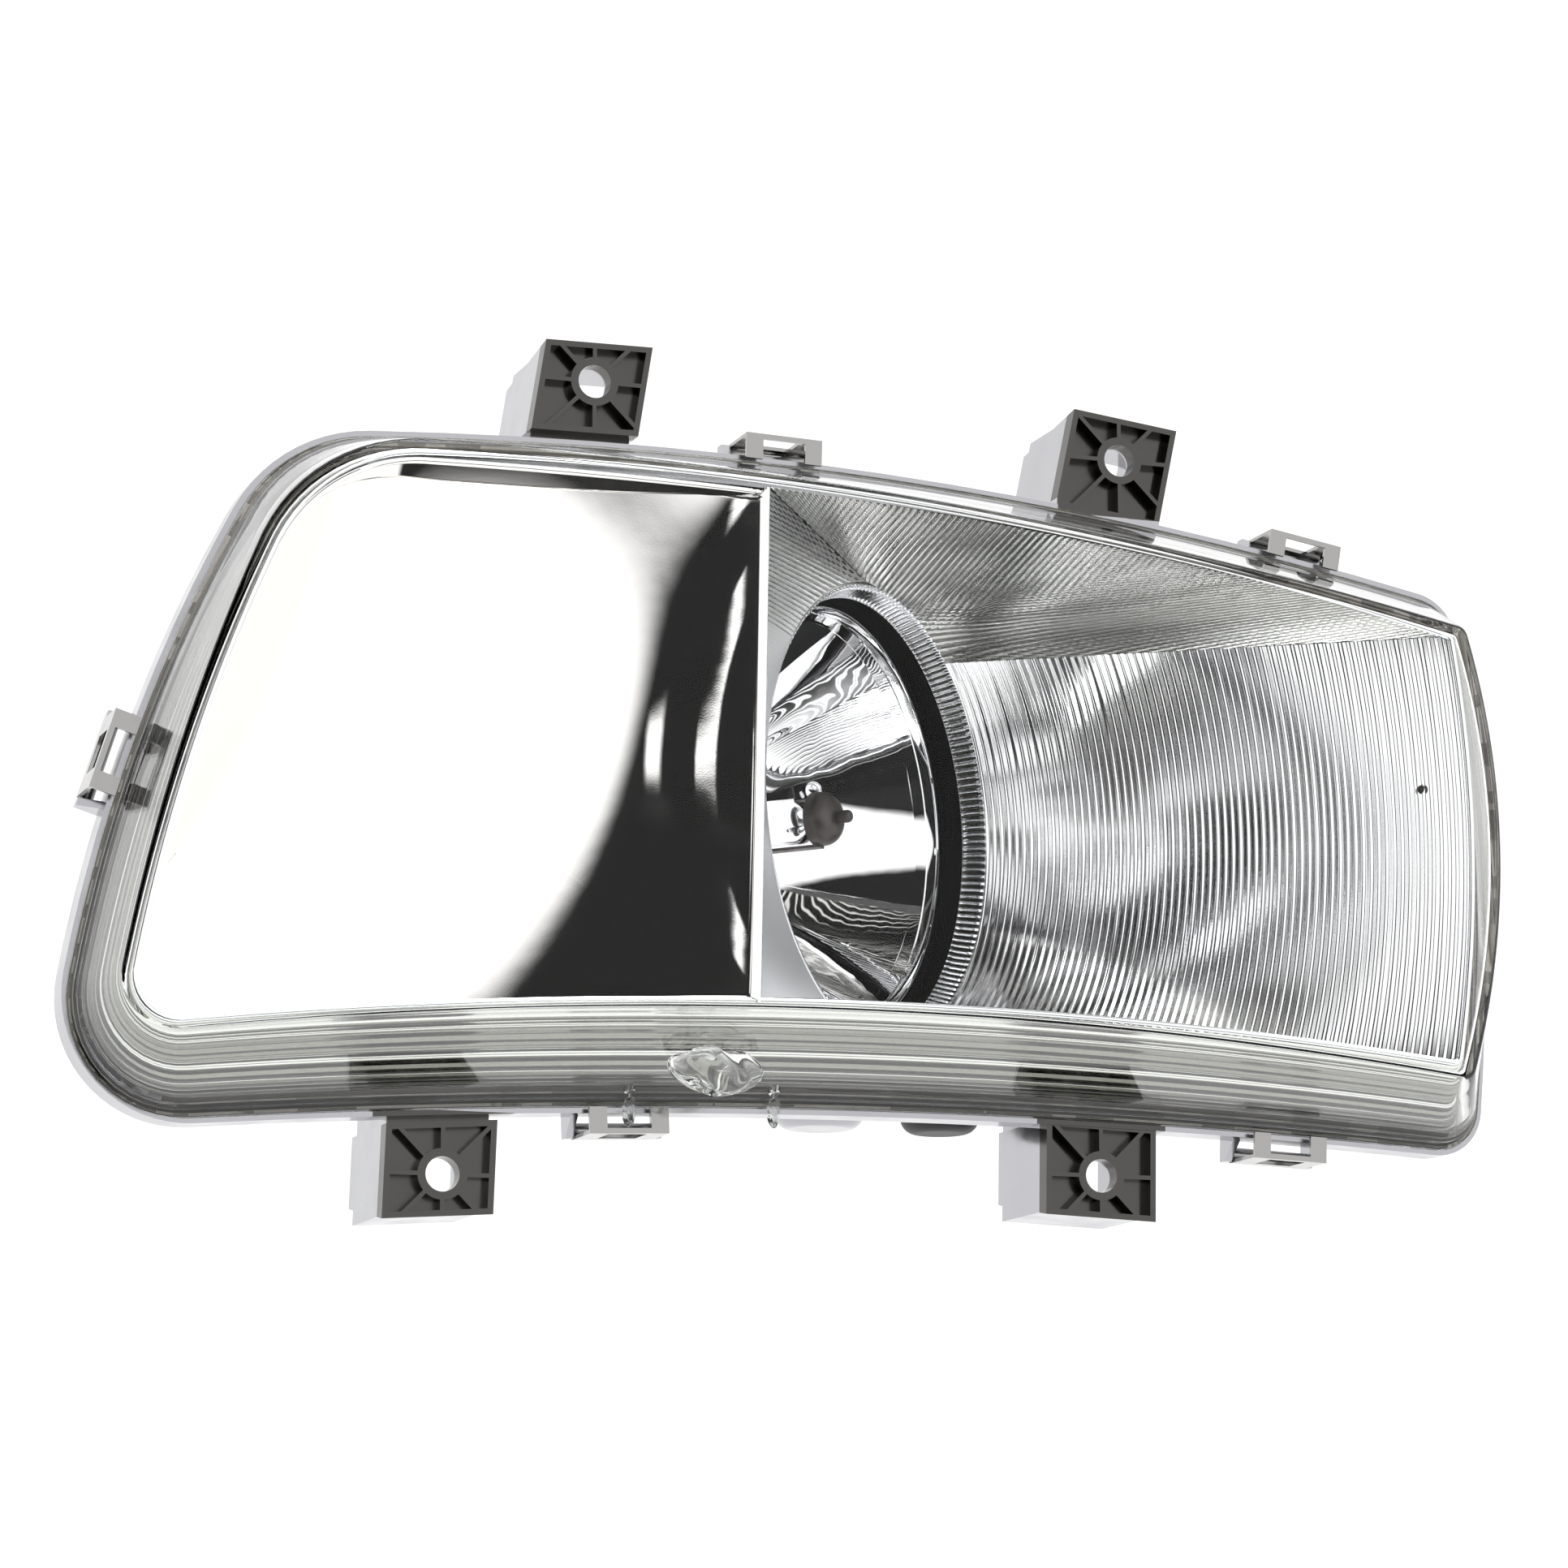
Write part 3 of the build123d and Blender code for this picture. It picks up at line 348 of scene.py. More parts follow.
# painted dark reflection: near the bolt holes, the pads' faces that look fore or aft are darkened in colour
painted_pad_reflections(housing_metal, (0.085, 0.082, 0.078))
spring_steel = mottled(finish("spring steel", (0.36, 0.355, 0.35), 1.0, 0.16), 0.08, 0.2, 220)
seal_foam = relief(finish("seal foam", (0.60, 0.57, 0.53), 0.0, 0.85), 1500, 0.1)
black_plastic = relief(finish("grained black plastic", (0.018, 0.018, 0.02), 0.0, 0.42), 1400, 0.05)
carrier_black = finish("carrier black", (0.006, 0.006, 0.007), 0.0, 0.6, Specular_IOR_Level=0.1)
relief(carrier_black, 1200, 0.05)
rubber = relief(finish("black rubber", (0.012, 0.012, 0.013), 0.0, 0.5), 900, 0.06)
nylon = relief(finish("natural nylon", (0.78, 0.77, 0.72), 0.0, 0.35), 700, 0.04)
cap_metal = mottled(finish("bulb cap metal", (0.72, 0.71, 0.69), 1.0, 0.28), 0.2, 0.36, 400)
shield_bronze = mottled(finish("shield bronze", (0.10, 0.09, 0.085), 0.6, 0.42), 0.36, 0.48, 300)
zinc = mottled(finish("zinc-plated steel", (0.70, 0.70, 0.66), 1.0, 0.25), 0.18, 0.34, 300)


# %% [markdown]
# Clear plastic bends what is behind it, so the lens is a real closed wall with an index of refraction.
# Lamps cannot find their way through such a wall in reasonable time, so for shadow rays it is transparent.
# Bending would also veil the dark of the pan, so the middle of the front is simply see-through, with a
# trace of gloss, and the wall refracts only towards its edge and down its skirt.

# %% Clear materials
def clear(name, color, ior, roughness=0.0):
    """A refracting clear material that lets the lamps' light straight through."""
    material = finish(name, color, 0.0, roughness, IOR=ior, Transmission_Weight=1.0)
    tree = material.node_tree
    shader, output = tree.nodes["Principled BSDF"], tree.nodes["Material Output"]
    path = tree.nodes.new("ShaderNodeLightPath")
    through = tree.nodes.new("ShaderNodeBsdfTransparent")
    through.inputs["Color"].default_value = (*color, 1)
    mix = tree.nodes.new("ShaderNodeMixShader")
    tree.links.new(path.outputs["Is Shadow Ray"], mix.inputs["Fac"])
    tree.links.new(shader.outputs["BSDF"], mix.inputs[1])
    tree.links.new(through.outputs["BSDF"], mix.inputs[2])
    tree.links.new(mix.outputs["Shader"], output.inputs["Surface"])
    return material


def unbent_front(material, gloss, turned=0.96, straight=0.99):
    """Makes a clear wall see-through where it looks straight ahead, and leaves it refracting elsewhere."""
    tree = material.node_tree
    surface = tree.nodes["Material Output"].inputs["Surface"]
    refracting = surface.links[0].from_socket
    normal = split(tree, tree.nodes.new("ShaderNodeNewGeometry").outputs["Normal"])
    frontal = tree.nodes.new("ShaderNodeMapRange")
    frontal.inputs["From Min"].default_value, frontal.inputs["From Max"].default_value = turned, straight
    tree.links.new(maths(tree, "ABSOLUTE", normal["Y"]), frontal.inputs["Value"])
    through, gleam = tree.nodes.new("ShaderNodeBsdfTransparent"), tree.nodes.new("ShaderNodeBsdfGlossy")
    gleam.inputs["Roughness"].default_value = 0.02
    front, whole = tree.nodes.new("ShaderNodeMixShader"), tree.nodes.new("ShaderNodeMixShader")
    front.inputs["Fac"].default_value = gloss
    tree.links.new(through.outputs["BSDF"], front.inputs[1])
    tree.links.new(gleam.outputs["BSDF"], front.inputs[2])
    tree.links.new(frontal.outputs["Result"], whole.inputs["Fac"])
    tree.links.new(refracting, whole.inputs[1])
    tree.links.new(front.outputs["Shader"], whole.inputs[2])
    tree.links.new(whole.outputs["Shader"], surface)
    return material


lens_clear = unbent_front(clear("clear polycarbonate", (0.97, 0.98, 0.965), 1.49), 0.008)
bulb_clear = clear("quartz glass", (0.97, 0.98, 0.99), 1.46)

# %% [markdown]
# The lens is one closed wall: from the middle of its front outward over the crown, round the edge, down
# the drafted skirt to its foot, and back up inside. Each ring of that path has the same number of points.

# %% Lens
LENS_WALL, LENS_CROWN, LENS_BEND, LENS_ARCH = 3.0, 56.0, 4000.0, 2000.0
LENS_MIDDLE = np.array([140.0, 131.0])
FOOT_DEPTH, EDGE_ROUND, EDGE_SHARE = 3.0, 1.4, 0.992


def crown_depth(flat, inset=0.0):
    """How far the barrel-shaped front stands before the mounting plane, at points (X, Z)."""
    dx, dz = flat[..., 0] - LENS_MIDDLE[0], flat[..., 1] - LENS_MIDDLE[1]
    return LENS_CROWN - inset - dx**2 / (2 * LENS_BEND) - dz**2 / (2 * LENS_ARCH)


def lens_edge(inset):
    """Where the skirt, drawn in by the inset, meets the crown: the flat points and their depth."""
    foot = outline(**FLANGE, inset=3 + inset)
    front = outline(**FRONT, inset=inset)
    share = np.full(len(foot), 0.9)
    for _ in range(6):
        flat = foot + (front - foot) * share[:, None]
        share = crown_depth(flat, inset) / FRONT_DEPTH
    return foot, flat, share * FRONT_DEPTH


def lens_rings(inset, out_to_foot):
    """Rings from the crown's middle to the skirt's foot, in order, with a rounded edge between."""
    foot, edge, depth = lens_edge(inset)
    rings = []
    for r in np.linspace(0, 1, 13)[:-1]:
        flat = LENS_MIDDLE + (edge - LENS_MIDDLE) * r
        rings.append(at_depth(flat, crown_depth(flat, inset)))
    corner = at_depth(edge, depth)
    near_edge = LENS_MIDDLE + (edge - LENS_MIDDLE) * EDGE_SHARE
    before = at_depth(near_edge, crown_depth(near_edge, inset))
    skirt_foot = at_depth(foot, FOOT_DEPTH)
    along = (skirt_foot - corner) / np.linalg.norm(skirt_foot - corner, axis=1)[:, None]
    after = corner + along * EDGE_ROUND
    for t in (0.0, 0.25, 0.5, 0.75, 1.0):
        rings.append((1 - t) ** 2 * before + 2 * t * (1 - t) * corner + t**2 * after)
    for t in (0.25, 0.5, 0.75, 1.0):
        rings.append(after + (skirt_foot - after) * t)
    return rings if out_to_foot else rings[::-1]


def flange_ring(inset, depth):
    """The flange's outline drawn in by the inset, so far before the mounting plane."""
    return at_depth(outline(**FLANGE, inset=inset), depth)


outer = lens_rings(0.0, True)
inner = lens_rings(LENS_WALL, False)
foot_profile = [(2.6, 3.0), (2.2, 2.6), (2.2, -0.6), (2.6, -1.0), (6.0, -1.0)]
foot_path = [flange_ring(inset, depth) for inset, depth in foot_profile]
lens_mesh = grid_mesh("clear_lens", np.array(outer + foot_path + inner), wrap_cols=True, flip=True)
merge_poles(lens_mesh)
place(lens_mesh, lens_clear, "housing", ["lens"])

# %% [markdown]
# The pan is one smooth mirror sheet, nearly flat in the middle and turning up ever more steeply towards its
# two sides, and a little shallower above and below. Its rim is the bezel's outline cut off by the divider,
# and its points lie on straight lines from the pan's middle to that rim.

# %% Pan
PAN_DEPTH, PAN_POWER, PAN_LIFT, PAN_HALF_HEIGHT = 36.0, 2.6, 0.35, 88.0
PAN_MIDDLE = np.array([-6.0, 134.0])
LEFT_SIDE = np.polyfit([37, 131, 224], [-116, -93.5, -58], 2)  # X of the pan's outer side by height
RIDGE_HALF, RIDGE_LEAN = 1.0, (RIDGE_TOP[0] - RIDGE_FOOT[0]) / (RIDGE_TOP[1] - RIDGE_FOOT[1])


def pan_rim(inset=0.0):
    """The pan's rim: lower outer corner, divider foot, divider top, upper outer corner."""
    corners = [np.array(BEZEL["corners"][0]), RIDGE_FOOT, RIDGE_TOP, np.array(BEZEL["corners"][3])]
    middles = [(corners[0] + corners[1]) / 2 + (0, 2), (corners[1] + corners[2]) / 2,
               (corners[2] + corners[3]) / 2 + (0, 1.5), np.array(BEZEL["middles"][3])]
    return outline(corners, middles, [14, 2, 2, 58], inset=inset, side_points=60, corner_points=20)


def pan_sheet(flat):
    """The pan's depth coordinate Y at points (X, Z): a trough bowed both ways, shallower above and below."""
    x, z = flat[..., 0], flat[..., 1]
    left = np.polyval(LEFT_SIDE, z)
    right = RIDGE_FOOT[0] - RIDGE_HALF + (z - RIDGE_FOOT[1]) * RIDGE_LEAN
    off = x - PAN_MIDDLE[0]
    u = off / np.where(off < 0, PAN_MIDDLE[0] - left, right - PAN_MIDDLE[0])
    v = (z - PAN_MIDDLE[1]) / PAN_HALF_HEIGHT
    return -BEZEL_DEPTH + PAN_DEPTH * (1 - np.abs(u) ** PAN_POWER) * (1 - PAN_LIFT * v**2)


rim = pan_rim(0.8)
r = np.linspace(0, 1, 110)[:, None, None]
flat = PAN_MIDDLE + (rim - PAN_MIDDLE) * r
sheet = np.stack([flat[..., 0], pan_sheet(flat), flat[..., 1]], -1)
front_rim = at_depth(rim, BEZEL_DEPTH)
fillet = [sheet[-1] * (1 - t) + front_rim * t for t in (0.02, 0.1, 0.5, 0.9, 1.0)]
pan_mesh = grid_mesh("pan", np.concatenate([sheet, np.array(fillet)]), wrap_cols=True)
merge_poles(pan_mesh)
thicken(place(pan_mesh, pan_chrome, "housing", ["bezel"]), 1.6)

# %% [markdown]
# The funnel leads from the bezel's four-sided mouth to the round opening. Its ceiling has straight flutes
# along the beam, and its far wall has flutes that start as arcs about the ring and straighten outward.
# A flute is a shallow groove: half a sine wave with a sharp crest before the next, or, on the far wall, a
# long slope and a short return.

# %% Funnel
OPENING_R = 77.0
# where the mouth's four corners come down on the round opening, in degrees about the beam
TOP_TURN, RIDGE_TOP_TURN, FOOT_TURN, RIDGE_FOOT_TURN = 52, 92, -57, -117
FLUTE_PITCH, CEILING_PITCH, NEAR_PITCH, FLUTE_RISE, FAR_RISE = 2.7, 2.4, 1.7, 0.5, 0.72


def fluted(phase):
    """The height of a row of round-bottomed flutes with sharp crests, from 0 at the crest to -1."""
    return -np.abs(np.sin(math.pi * phase))


def about_beam(back, radius, turn):
    """Points on a ring about the beam: how far back, its radius, and the turns in radians."""
    return beam_point(back + 0 * turn, radius * np.cos(turn), radius * np.sin(turn))


def funnel_side(start, middle, end, turn_from, turn_to, columns, rows):
    """One wall of the funnel: rows run from the mouth to the ring, columns along the mouth's edge."""
    t = np.linspace(0, 1, columns)
    mouth = at_depth(arc_through(start, middle, end, t), BEZEL_DEPTH)
    turn = np.radians(turn_from + (turn_to - turn_from) * t)
    ring = about_beam(0.0, OPENING_R, turn)
    s = np.linspace(0, 1, rows)[:, None, None]
    return mouth * (1 - s) + ring * s


def normals_of(points):
    """Unit normals of a grid, from its rows' and columns' directions."""
    along_rows, along_cols = np.gradient(points, axis=0), np.gradient(points, axis=1)
    n = np.cross(along_cols, along_rows)
    return n / np.maximum(np.linalg.norm(n, axis=-1, keepdims=True), 1e-9)


corner = {name: np.array(BEZEL["corners"][i], float) for name, i in (("foot", 1), ("top", 2))}
ridge_top, ridge_foot = RIDGE_TOP + (RIDGE_HALF, 0), RIDGE_FOOT + (RIDGE_HALF, 0)
top_middle = (corner["top"] + ridge_top) / 2 + (0, 5)
floor_middle = (corner["foot"] + ridge_foot) / 2 + (0, 4)
right_middle = np.array(BEZEL["middles"][1], float)

ceiling = funnel_side(corner["top"], top_middle, ridge_top, TOP_TURN, RIDGE_TOP_TURN, 1100, 44)
ceiling_phase = ceiling[..., 0] / CEILING_PITCH
ceiling = ceiling + normals_of(ceiling) * (fluted(ceiling_phase) * FLUTE_RISE)[..., None]

far_wall = funnel_side(corner["foot"], right_middle, corner["top"], FOOT_TURN, TOP_TURN, 60, 470)
length = np.linalg.norm(far_wall[0, 30] - far_wall[-1, 30])
phase = np.linspace(0, 1, len(far_wall))[:, None] * length / FLUTE_PITCH + np.zeros(far_wall.shape[:2])
part_way = phase % 1
saw = np.minimum(part_way / 0.8, (1 - part_way) / 0.2)
far_wall = far_wall - normals_of(far_wall) * (saw * FAR_RISE)[..., None]

floor_wall = funnel_side(ridge_foot, floor_middle, corner["foot"], RIDGE_FOOT_TURN, FOOT_TURN, 560, 40)
phase = (floor_wall - ring_centre) @ across / FLUTE_PITCH
floor_wall = floor_wall + normals_of(floor_wall) * (fluted(phase) * FLUTE_RISE)[..., None]

ridge_middle = (ridge_top + ridge_foot) / 2
near_wall = funnel_side(ridge_top, ridge_middle, ridge_foot, RIDGE_TOP_TURN, RIDGE_FOOT_TURN + 360, 900, 24)
# the near wall is plain below and takes up its fine flutes over 50 mm of height
height = np.clip((near_wall[..., 2] - 165) / 50, 0, 1)
near_phase = near_wall[..., 2] / NEAR_PITCH
near_wall = near_wall + normals_of(near_wall) * (fluted(near_phase) * 0.3 * height)[..., None]

def by_crest(flute_phase, reach):
    """True for the faces beside a flute's crest, from the phase at the grid's points."""
    return np.abs(np.sin(math.pi * flute_phase[:-1, :-1])) < reach


# the ceiling's grey metal is a painted reflection
walls = {}
for name, points, material in (
    ("funnel_ceiling", ceiling, flute_painted_grey_reflection),
    ("funnel_far_wall", far_wall, flute_chrome),
    ("funnel_floor", floor_wall, flute_chrome),
    ("funnel_near_wall", near_wall, satin_chrome),
):
    walls[name] = place(grid_mesh(name, points, flip=True), material, "housing", ["bezel"])
# painted shade: the faces beside the flute crests take a darker metal
shade_faces(walls["funnel_ceiling"], flute_painted_shade, by_crest(ceiling_phase, 0.62))
shade_faces(walls["funnel_near_wall"], flute_painted_shade, by_crest(near_phase, 0.45) & (height[:-1, :-1] > 0.3))

# %% [markdown]
# The divider and the bezel's rim are one thin rounded bead, so bright that they draw the lamp's lines.

# %% Rim bead and divider
def bead(name, path, closed, width, height, material):
    """A flattened half-round strip along a flat path at the bezel's front."""
    ahead = np.roll(path, -1, 0) - np.roll(path, 1, 0) if closed else np.gradient(path, axis=0)
    side = np.stack([-ahead[:, 1], ahead[:, 0]], -1)
    side /= np.linalg.norm(side, axis=1)[:, None]
    turn = np.linspace(0, 2 * math.pi, 12, endpoint=False)
    flat = path[:, None, :] + side[:, None, :] * (width / 2 * np.cos(turn))[None, :, None]
    depth = BEZEL_DEPTH + height * np.sin(turn)[None, :] + 0 * flat[..., 0]
    mesh = grid_mesh(name, at_depth(flat, depth), wrap_rows=closed, wrap_cols=True)
    return place(mesh, material, "housing", ["bezel"])


bead("bezel_rim", outline(**BEZEL, inset=0.2, side_points=60), True, 2.0, 1.0, ring_chrome)
divider_path = RIDGE_FOOT + (RIDGE_TOP - RIDGE_FOOT) * np.linspace(0, 1, 40)[:, None]
bead("divider", divider_path, False, 2.4, 1.2, ring_chrome)

# %% [markdown]
# Between the bezel's rim and the seal the bezel runs down in fine steps, which the clear skirt blurs into
# streaks. The steps carry painted reflections, bright, grey or dark: bright near the rim, mixed below, and a
# dark line, a bright one and a grey one along the foot.

# %% Stepped skirt of the bezel
LINER_ROWS, LINER_STEPS, LINER_FOOT = 90, 9, 2.0
generator = np.random.default_rng(7)
rim_line, foot_line = outline(**BEZEL, inset=-1.0), outline(**FLANGE, inset=8.5)
share = np.linspace(0, 1, LINER_ROWS + 1)
steps = np.cumsum(0.25 + np.abs(np.sin(math.pi * share * LINER_STEPS)) ** 3)
steps = (steps - steps[0]) / (steps[-1] - steps[0])
rings = [at_depth(rim_line + (foot_line - rim_line) * out, (BEZEL_DEPTH - 0.5) * (1 - down) + LINER_FOOT * down)
         for out, down in zip(share, steps)]
liner_mesh = grid_mesh("bezel_skirt", np.array(rings), wrap_cols=True)
# painted reflections: each step is given a bright, grey or dark tone, partly at random
tones = generator.choice([BRIGHT, GREY, GREY, GREY, DARK], LINER_ROWS)
tones[:8], tones[-12:-9], tones[-9:-5], tones[-5:] = BRIGHT, DARK, BRIGHT, GREY
place(liner_mesh, painted_light_and_spot_tones[BRIGHT], "housing")
for tone in painted_light_and_spot_tones[1:]:
    liner_mesh.materials.append(tone)
liner_mesh.polygons.foreach_set("material_index", np.repeat(tones, len(rim_line)).astype(np.int32))

# %% [markdown]
# Small things: the lobe moulded on the skirt, two locating lugs at its foot, and two small dark spots in
# the chrome, taken to be drain holes.

# %% Lobe, lugs and drain holes
def ellipsoid(name, centre, radii, twist, material):
    """A slightly fluted ball, stretched to three radii and turned about Y, in millimetres."""
    polar = np.linspace(0, math.pi, 25)[:, None]
    turn = np.linspace(0, 2 * math.pi, 36, endpoint=False)[None, :]
    ball = np.stack([np.sin(polar) * np.cos(turn), np.sin(polar) * np.sin(turn), np.cos(polar) + 0 * turn], -1)
    lobe = 1 + 0.16 * np.sin(3 * turn + 2 * np.cos(polar))[..., None]
    ball = ball * lobe * np.array(radii)
    cosine, sine = math.cos(twist), math.sin(twist)
    x, y, z = np.moveaxis(ball, -1, 0)
    turned = np.stack([x * cosine + z * sine, y, -x * sine + z * cosine], -1)
    mesh = grid_mesh(name, turned + np.array(centre), wrap_cols=True, flip=True)
    merge_poles(mesh)
    return place(mesh, material, "housing")


ellipsoid("gate_lobe", (82, -30, 33.5), (15, 5, 7.5), 0.15, lens_clear)
for number, (x, z) in enumerate(((61.3, 22.5), (111.0, 24.5)), 1):
    ellipsoid(f"foot_lug_{number}", (x, -4, z), (2.2, 2.2, 5.0), 0.0, lens_clear)
PAN_SPOT = np.array([17.0, 74.0])
pan_spot = (PAN_SPOT[0], pan_sheet(PAN_SPOT) - 0.2, PAN_SPOT[1])
ellipsoid("pan_drain", pan_spot, (2.6, 0.6, 3.4), 0.5, painted_light_and_spot_tones[DARK])
ellipsoid("wall_drain", far_wall[45, 38], (1.2, 1.2, 1.5), 0.3, painted_light_and_spot_tones[DARK])

# %% [markdown]
# The trim ring is a conical bore with straight knurling, the first thing the eye finds around the bowl.

# %% Trim ring
RING_INNER, RING_OUTER, KNURLS = 74.0, 80.0, 190
turn = np.linspace(0, 2 * math.pi, KNURLS * 8, endpoint=False)
KNURL_DEPTH, BORE_EDGE = 1.2, OPENING_R - 0.2
groove = KNURL_DEPTH * np.abs(np.sin(turn * KNURLS / 2))
taper = (RING_INNER - OPENING_R) / RING_DEPTH
# how far back, at what radius, and how much of the knurls' depth is cut there
front = [(0.4, RING_OUTER - 0.4, 0), (-0.2, RING_OUTER - 0.8, 0), (-0.6, OPENING_R + 1.0, 0),
         (0.0, BORE_EDGE, 0.2)]
bore = [(back, BORE_EDGE + taper * back, 1.0) for back in (0.5, 2, 4, 6, 7.4)]
rear = [(7.8, RING_INNER + 0.2, 0.3), (8.0, RING_INNER + 0.6, 0), (8.0, RING_OUTER, 0), (0.4, RING_OUTER, 0)]
rings = [about_beam(back, radius + cut * groove, turn) for back, radius, cut in front + bore + rear]
ring_mesh = grid_mesh("knurled_ring", np.array(rings), wrap_cols=True, flip=True)
knurled = place(ring_mesh, ring_chrome, "housing", ["trim_ring"])
row = np.arange(len(rings) - 1)
in_bore = (row >= len(front)) & (row < len(front + bore))
# painted shade: the deepest faces of the knurl grooves in the bore take the dark tone
shade_faces(knurled, painted_light_and_spot_tones[DARK], in_bore[:, None] & (groove > 1.0)[None, :])

# %% [markdown]
# The bowl is a paraboloid broken into fan-shaped facets: each facet bulges a little, so that each one
# throws its own picture of the bulb and of the room. The real bowl mirrors something dark in its upper
# part. Here a thin black sheet over the facets, a painted dark reflection, stands in for that, and isn't a
# piece of the lamp. A plain collar stands in front of the facets, and a made-up black tube behind the trim
# ring is painted shade that hides the housing's inside.

# %% Bowl facets
BOWL_FRONT, BOWL_R, BOWL_FOCAL, HOLE_R, COLLAR_FRONT = 20.0, 70.0, 20.0, 12.2, 16.0
BOWL_APEX = BOWL_FRONT + BOWL_R**2 / (4 * BOWL_FOCAL)
FACET_FRONT_R, FACET_LIFT, SHADE_LIFT, SHADE_R = 67.8, 0.3, 1.6, 52.0
SHADE_FROM, SHADE_TO = 84, 172
# where each facet begins, in degrees round the bowl, and how far its middle bulges
FACETS = [(-150, 3.0), (-92, 2.6), (-38, 3.2), (20, 3.4), (53, 2.2), (68, 1.6), (104, 2.6), (156, 2.4)]


def bowl_back(radius, lift):
    """How far back the bowl is at a radius, raised off its surface by the lift."""
    return BOWL_APEX - radius**2 / (4 * BOWL_FOCAL) - lift


ends = [start for start, _ in FACETS[1:]] + [FACETS[0][0] + 360]
for number, ((start, bulge), end) in enumerate(zip(FACETS, ends), 1):
    share = np.linspace(0, 1, 60)
    turn = np.radians(start + (end - start) * share)
    radius = np.linspace(HOLE_R, FACET_FRONT_R, 90)[:, None]
    swell = bulge * np.sin(math.pi * share) * (radius / BOWL_R) ** 1.3 * (1.15 - radius / BOWL_R)
    facet = grid_mesh(f"bowl_facet_{number}", about_beam(bowl_back(radius, FACET_LIFT) - swell, radius, turn))
    place(facet, bowl_chrome, "reflector")

# painted dark reflection: a black sheet lying just over the bowl's upper facets
turn = np.radians(np.linspace(SHADE_FROM, SHADE_TO, 60))
radius = np.linspace(SHADE_R, FACET_FRONT_R - 0.2, 8)[:, None]
shade = grid_mesh("bowl_painted_dark_reflection", about_beam(bowl_back(radius, SHADE_LIFT), radius, turn))
place(shade, carrier_black, "reflector")

turn = np.linspace(0, 2 * math.pi, 240, endpoint=False)
edge_back = bowl_back(FACET_FRONT_R, FACET_LIFT)
collar = [(edge_back, FACET_FRONT_R), (edge_back - 0.3, FACET_FRONT_R + 0.5), (edge_back - 0.6, 70.6),
          (COLLAR_FRONT + 0.5, 71.4), (COLLAR_FRONT + 0.1, 71.6), (COLLAR_FRONT - 0.1, 72.2),
          (COLLAR_FRONT, 72.9), (COLLAR_FRONT + 0.4, 73.1), (BOWL_FRONT, 73.1)]
# painted shade: a made-up black tube behind the trim ring, over the housing's inside
shade_tube_profile = [(9.0, 86.8), (42.0, 86.8), (42.0, 77.0)]
for name, profile, material, body, slot in (
    ("bowl_collar", collar, bowl_chrome, "reflector", "bowl_chrome"),
    ("painted_shade_tube", shade_tube_profile, carrier_black, "housing", "black_plastic"),
):
    rings = np.array([about_beam(back, radius, turn) for back, radius in profile])
    place(grid_mesh(name, rings, wrap_cols=True), material, body)

# %% [markdown]
# The other pieces keep their CAD shape and only get a finish. Those behind the flange are in the plastics
# and metals that such units are made of.

# %% Finishes of the CAD pieces that keep their shape
finishes = {
    "housing": housing_metal, "lens_seal": seal_foam, "aim_carrier": carrier_black, "reflector": bowl_chrome,
    "bulb_base": cap_metal, "bulb_glass": bulb_clear, "bulb_shield": shield_bronze, "bulb_plug": black_plastic,
    "bulb_wire_clip": zinc, "position_holder": black_plastic, "position_bulb": bulb_clear, "tilt_stud": nylon,
    "swing_stud": nylon, "tilt_screw": nylon, "swing_screw": nylon, "rear_cap": black_plastic,
    "cap_seal": rubber, "vent_boot": rubber, "inlet": black_plastic,
}
finishes.update({node: spring_steel for node in nodes if node.startswith("lens_clip")})
for node, material in finishes.items():
    nodes[node].data.materials.clear()
    nodes[node].data.materials.append(material)

# %% [markdown]
# A chrome piece shows the room, so the room is half of its finish: a white tent, with one dark flank to
# the lamp's outer side, where the pan's steep side looks, and small bright windows inside that dark.

# %% Room
world = bpy.data.worlds.new("tent")
bpy.context.scene.world = world
world.use_nodes = True
tree = world.node_tree
background = tree.nodes["Background"]


def ramp(value, low, high):
    """0 below low, 1 above high, smooth between."""
    node = tree.nodes.new("ShaderNodeMapRange")
    node.interpolation_type = "SMOOTHSTEP"
    tree.links.new(value, node.inputs["Value"])
    node.inputs["From Min"].default_value, node.inputs["From Max"].default_value = low, high
    return node.outputs["Result"]


def inverse(value):
    """One minus a value."""
    return maths(tree, "SUBTRACT", 1.0, value)


def product(*values):
    """All the values multiplied together."""
    total = values[0]
    for value in values[1:]:
        total = maths(tree, "MULTIPLY", total, value)
    return total


def card(west_edge, east_edge, low, high, soft):
    """1 inside a window of the room, by azimuth from straight ahead (towards +X) and elevation, in degrees."""
    return product(ramp(azimuth, west_edge - soft, west_edge + soft),
                   inverse(ramp(azimuth, east_edge - soft, east_edge + soft)),
                   ramp(elevation, low - soft, low + soft),
                   inverse(ramp(elevation, high - soft, high + soft)))


east, north, height = split(tree, tree.nodes.new("ShaderNodeTexCoord").outputs["Generated"])
azimuth = maths(tree, "ARCTAN2", east, maths(tree, "MULTIPLY", north, -1.0))
azimuth, elevation = (product(angle, 180 / math.pi) for angle in (azimuth, maths(tree, "ARCSINE", height)))

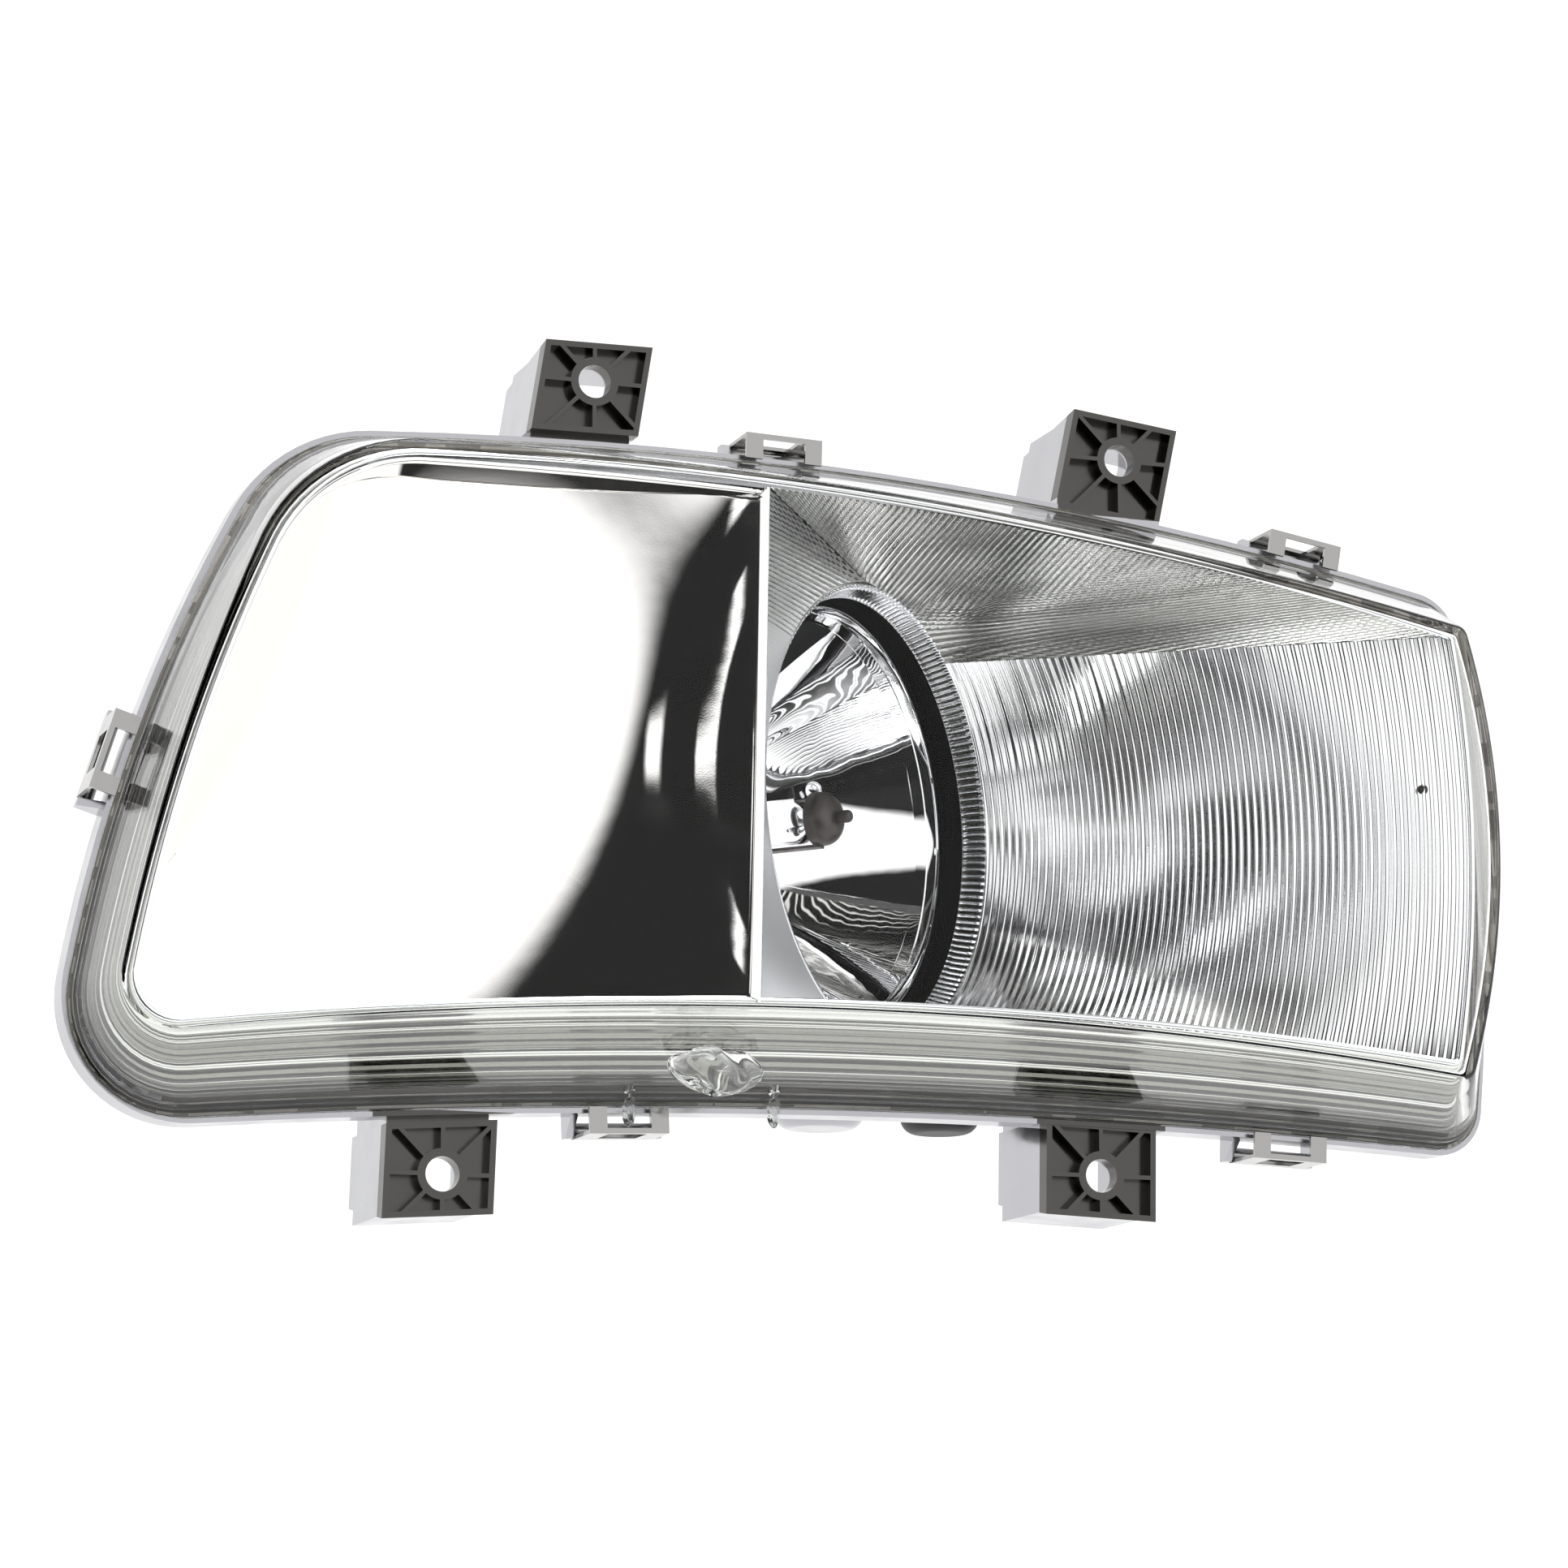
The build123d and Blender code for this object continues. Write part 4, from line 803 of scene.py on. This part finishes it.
# the dark flank's inner edge is a hyperbola: it bends towards the front above and below its level
EDGE_LEVEL, EDGE_AZIMUTH, EDGE_SLOPE, EDGE_ROUNDING = 7.0, -33.0, 2.05, 6.0
off_level = maths(tree, "ABSOLUTE", maths(tree, "SUBTRACT", elevation, EDGE_LEVEL))
bend = maths(tree, "SQRT", maths(tree, "ADD", maths(tree, "POWER", off_level, 2.0), EDGE_ROUNDING**2))
edge = maths(tree, "ADD", product(bend, EDGE_SLOPE), EDGE_AZIMUTH - EDGE_SLOPE * EDGE_ROUNDING)
beyond = maths(tree, "SUBTRACT", azimuth, edge)
dark = product(inverse(ramp(beyond, -4.0, 4.0)), card(-71, 60, -46, 58, 4.0))
TENT_LIGHT, FLANK_DARKNESS, WINDOW_LIGHT = 1.2, 0.992, 1.2
light = inverse(product(dark, FLANK_DARKNESS))
for window in (card(-41, -36.5, 9.6, 12.6, 0.9), card(-57, -51.5, 11.5, 12.5, 0.4)):
    light = maths(tree, "ADD", light, product(window, WINDOW_LIGHT))
path = tree.nodes.new("ShaderNodeLightPath")
seen = maths(tree, "MAXIMUM", product(light, TENT_LIGHT), path.outputs["Is Camera Ray"])
tree.links.new(seen, background.inputs["Strength"])
background.inputs["Color"].default_value = (1.0, 1.0, 1.0, 1)


def softbox(name, position, target, size, watts):
    """A square area lamp aimed at a point."""
    lamp = bpy.data.lights.new(name, "AREA")
    lamp.shape, lamp.size, lamp.energy = "SQUARE", size, watts
    holder = bpy.data.objects.new(name, lamp)
    bpy.context.scene.collection.objects.link(holder)
    holder.location = position
    holder.rotation_euler = (Vector(target) - Vector(position)).to_track_quat("-Z", "Y").to_euler()
    return holder


low, high = (np.array(corner) for corner in cad_bounds)
middle = (low + high) / 2
softbox("top light", (0.3, -0.7, 1.6), middle, 0.8, 14)

# %% [markdown]
# The camera stands low and to the lamp's outer side, far back with a long lens, so shapes stay true.

# %% Camera
VIEW_AZIMUTH, VIEW_ELEVATION, VIEW_DISTANCE = math.radians(-20), math.radians(-11), 1.6
AIM = np.array([0.116, 0.0, 0.1345])
VIEW_WIDTH = 0.52164  # how much of the lamp's plane the square view takes in
camera_data = bpy.data.cameras.new("camera")
camera_data.sensor_width = 36.0
camera_data.lens = camera_data.sensor_width * VIEW_DISTANCE / VIEW_WIDTH
camera_data.clip_start, camera_data.clip_end = 0.05, 50
camera = bpy.data.objects.new("camera", camera_data)
bpy.context.scene.collection.objects.link(camera)
level = math.cos(VIEW_ELEVATION)
back = np.array([math.sin(VIEW_AZIMUTH) * level, -math.cos(VIEW_AZIMUTH) * level, math.sin(VIEW_ELEVATION)])
camera.location = AIM + back * VIEW_DISTANCE
camera.rotation_euler = Vector(-back).to_track_quat("-Z", "Y").to_euler()
bpy.context.scene.camera = camera
bpy.context.scene.view_settings.view_transform = "Standard"
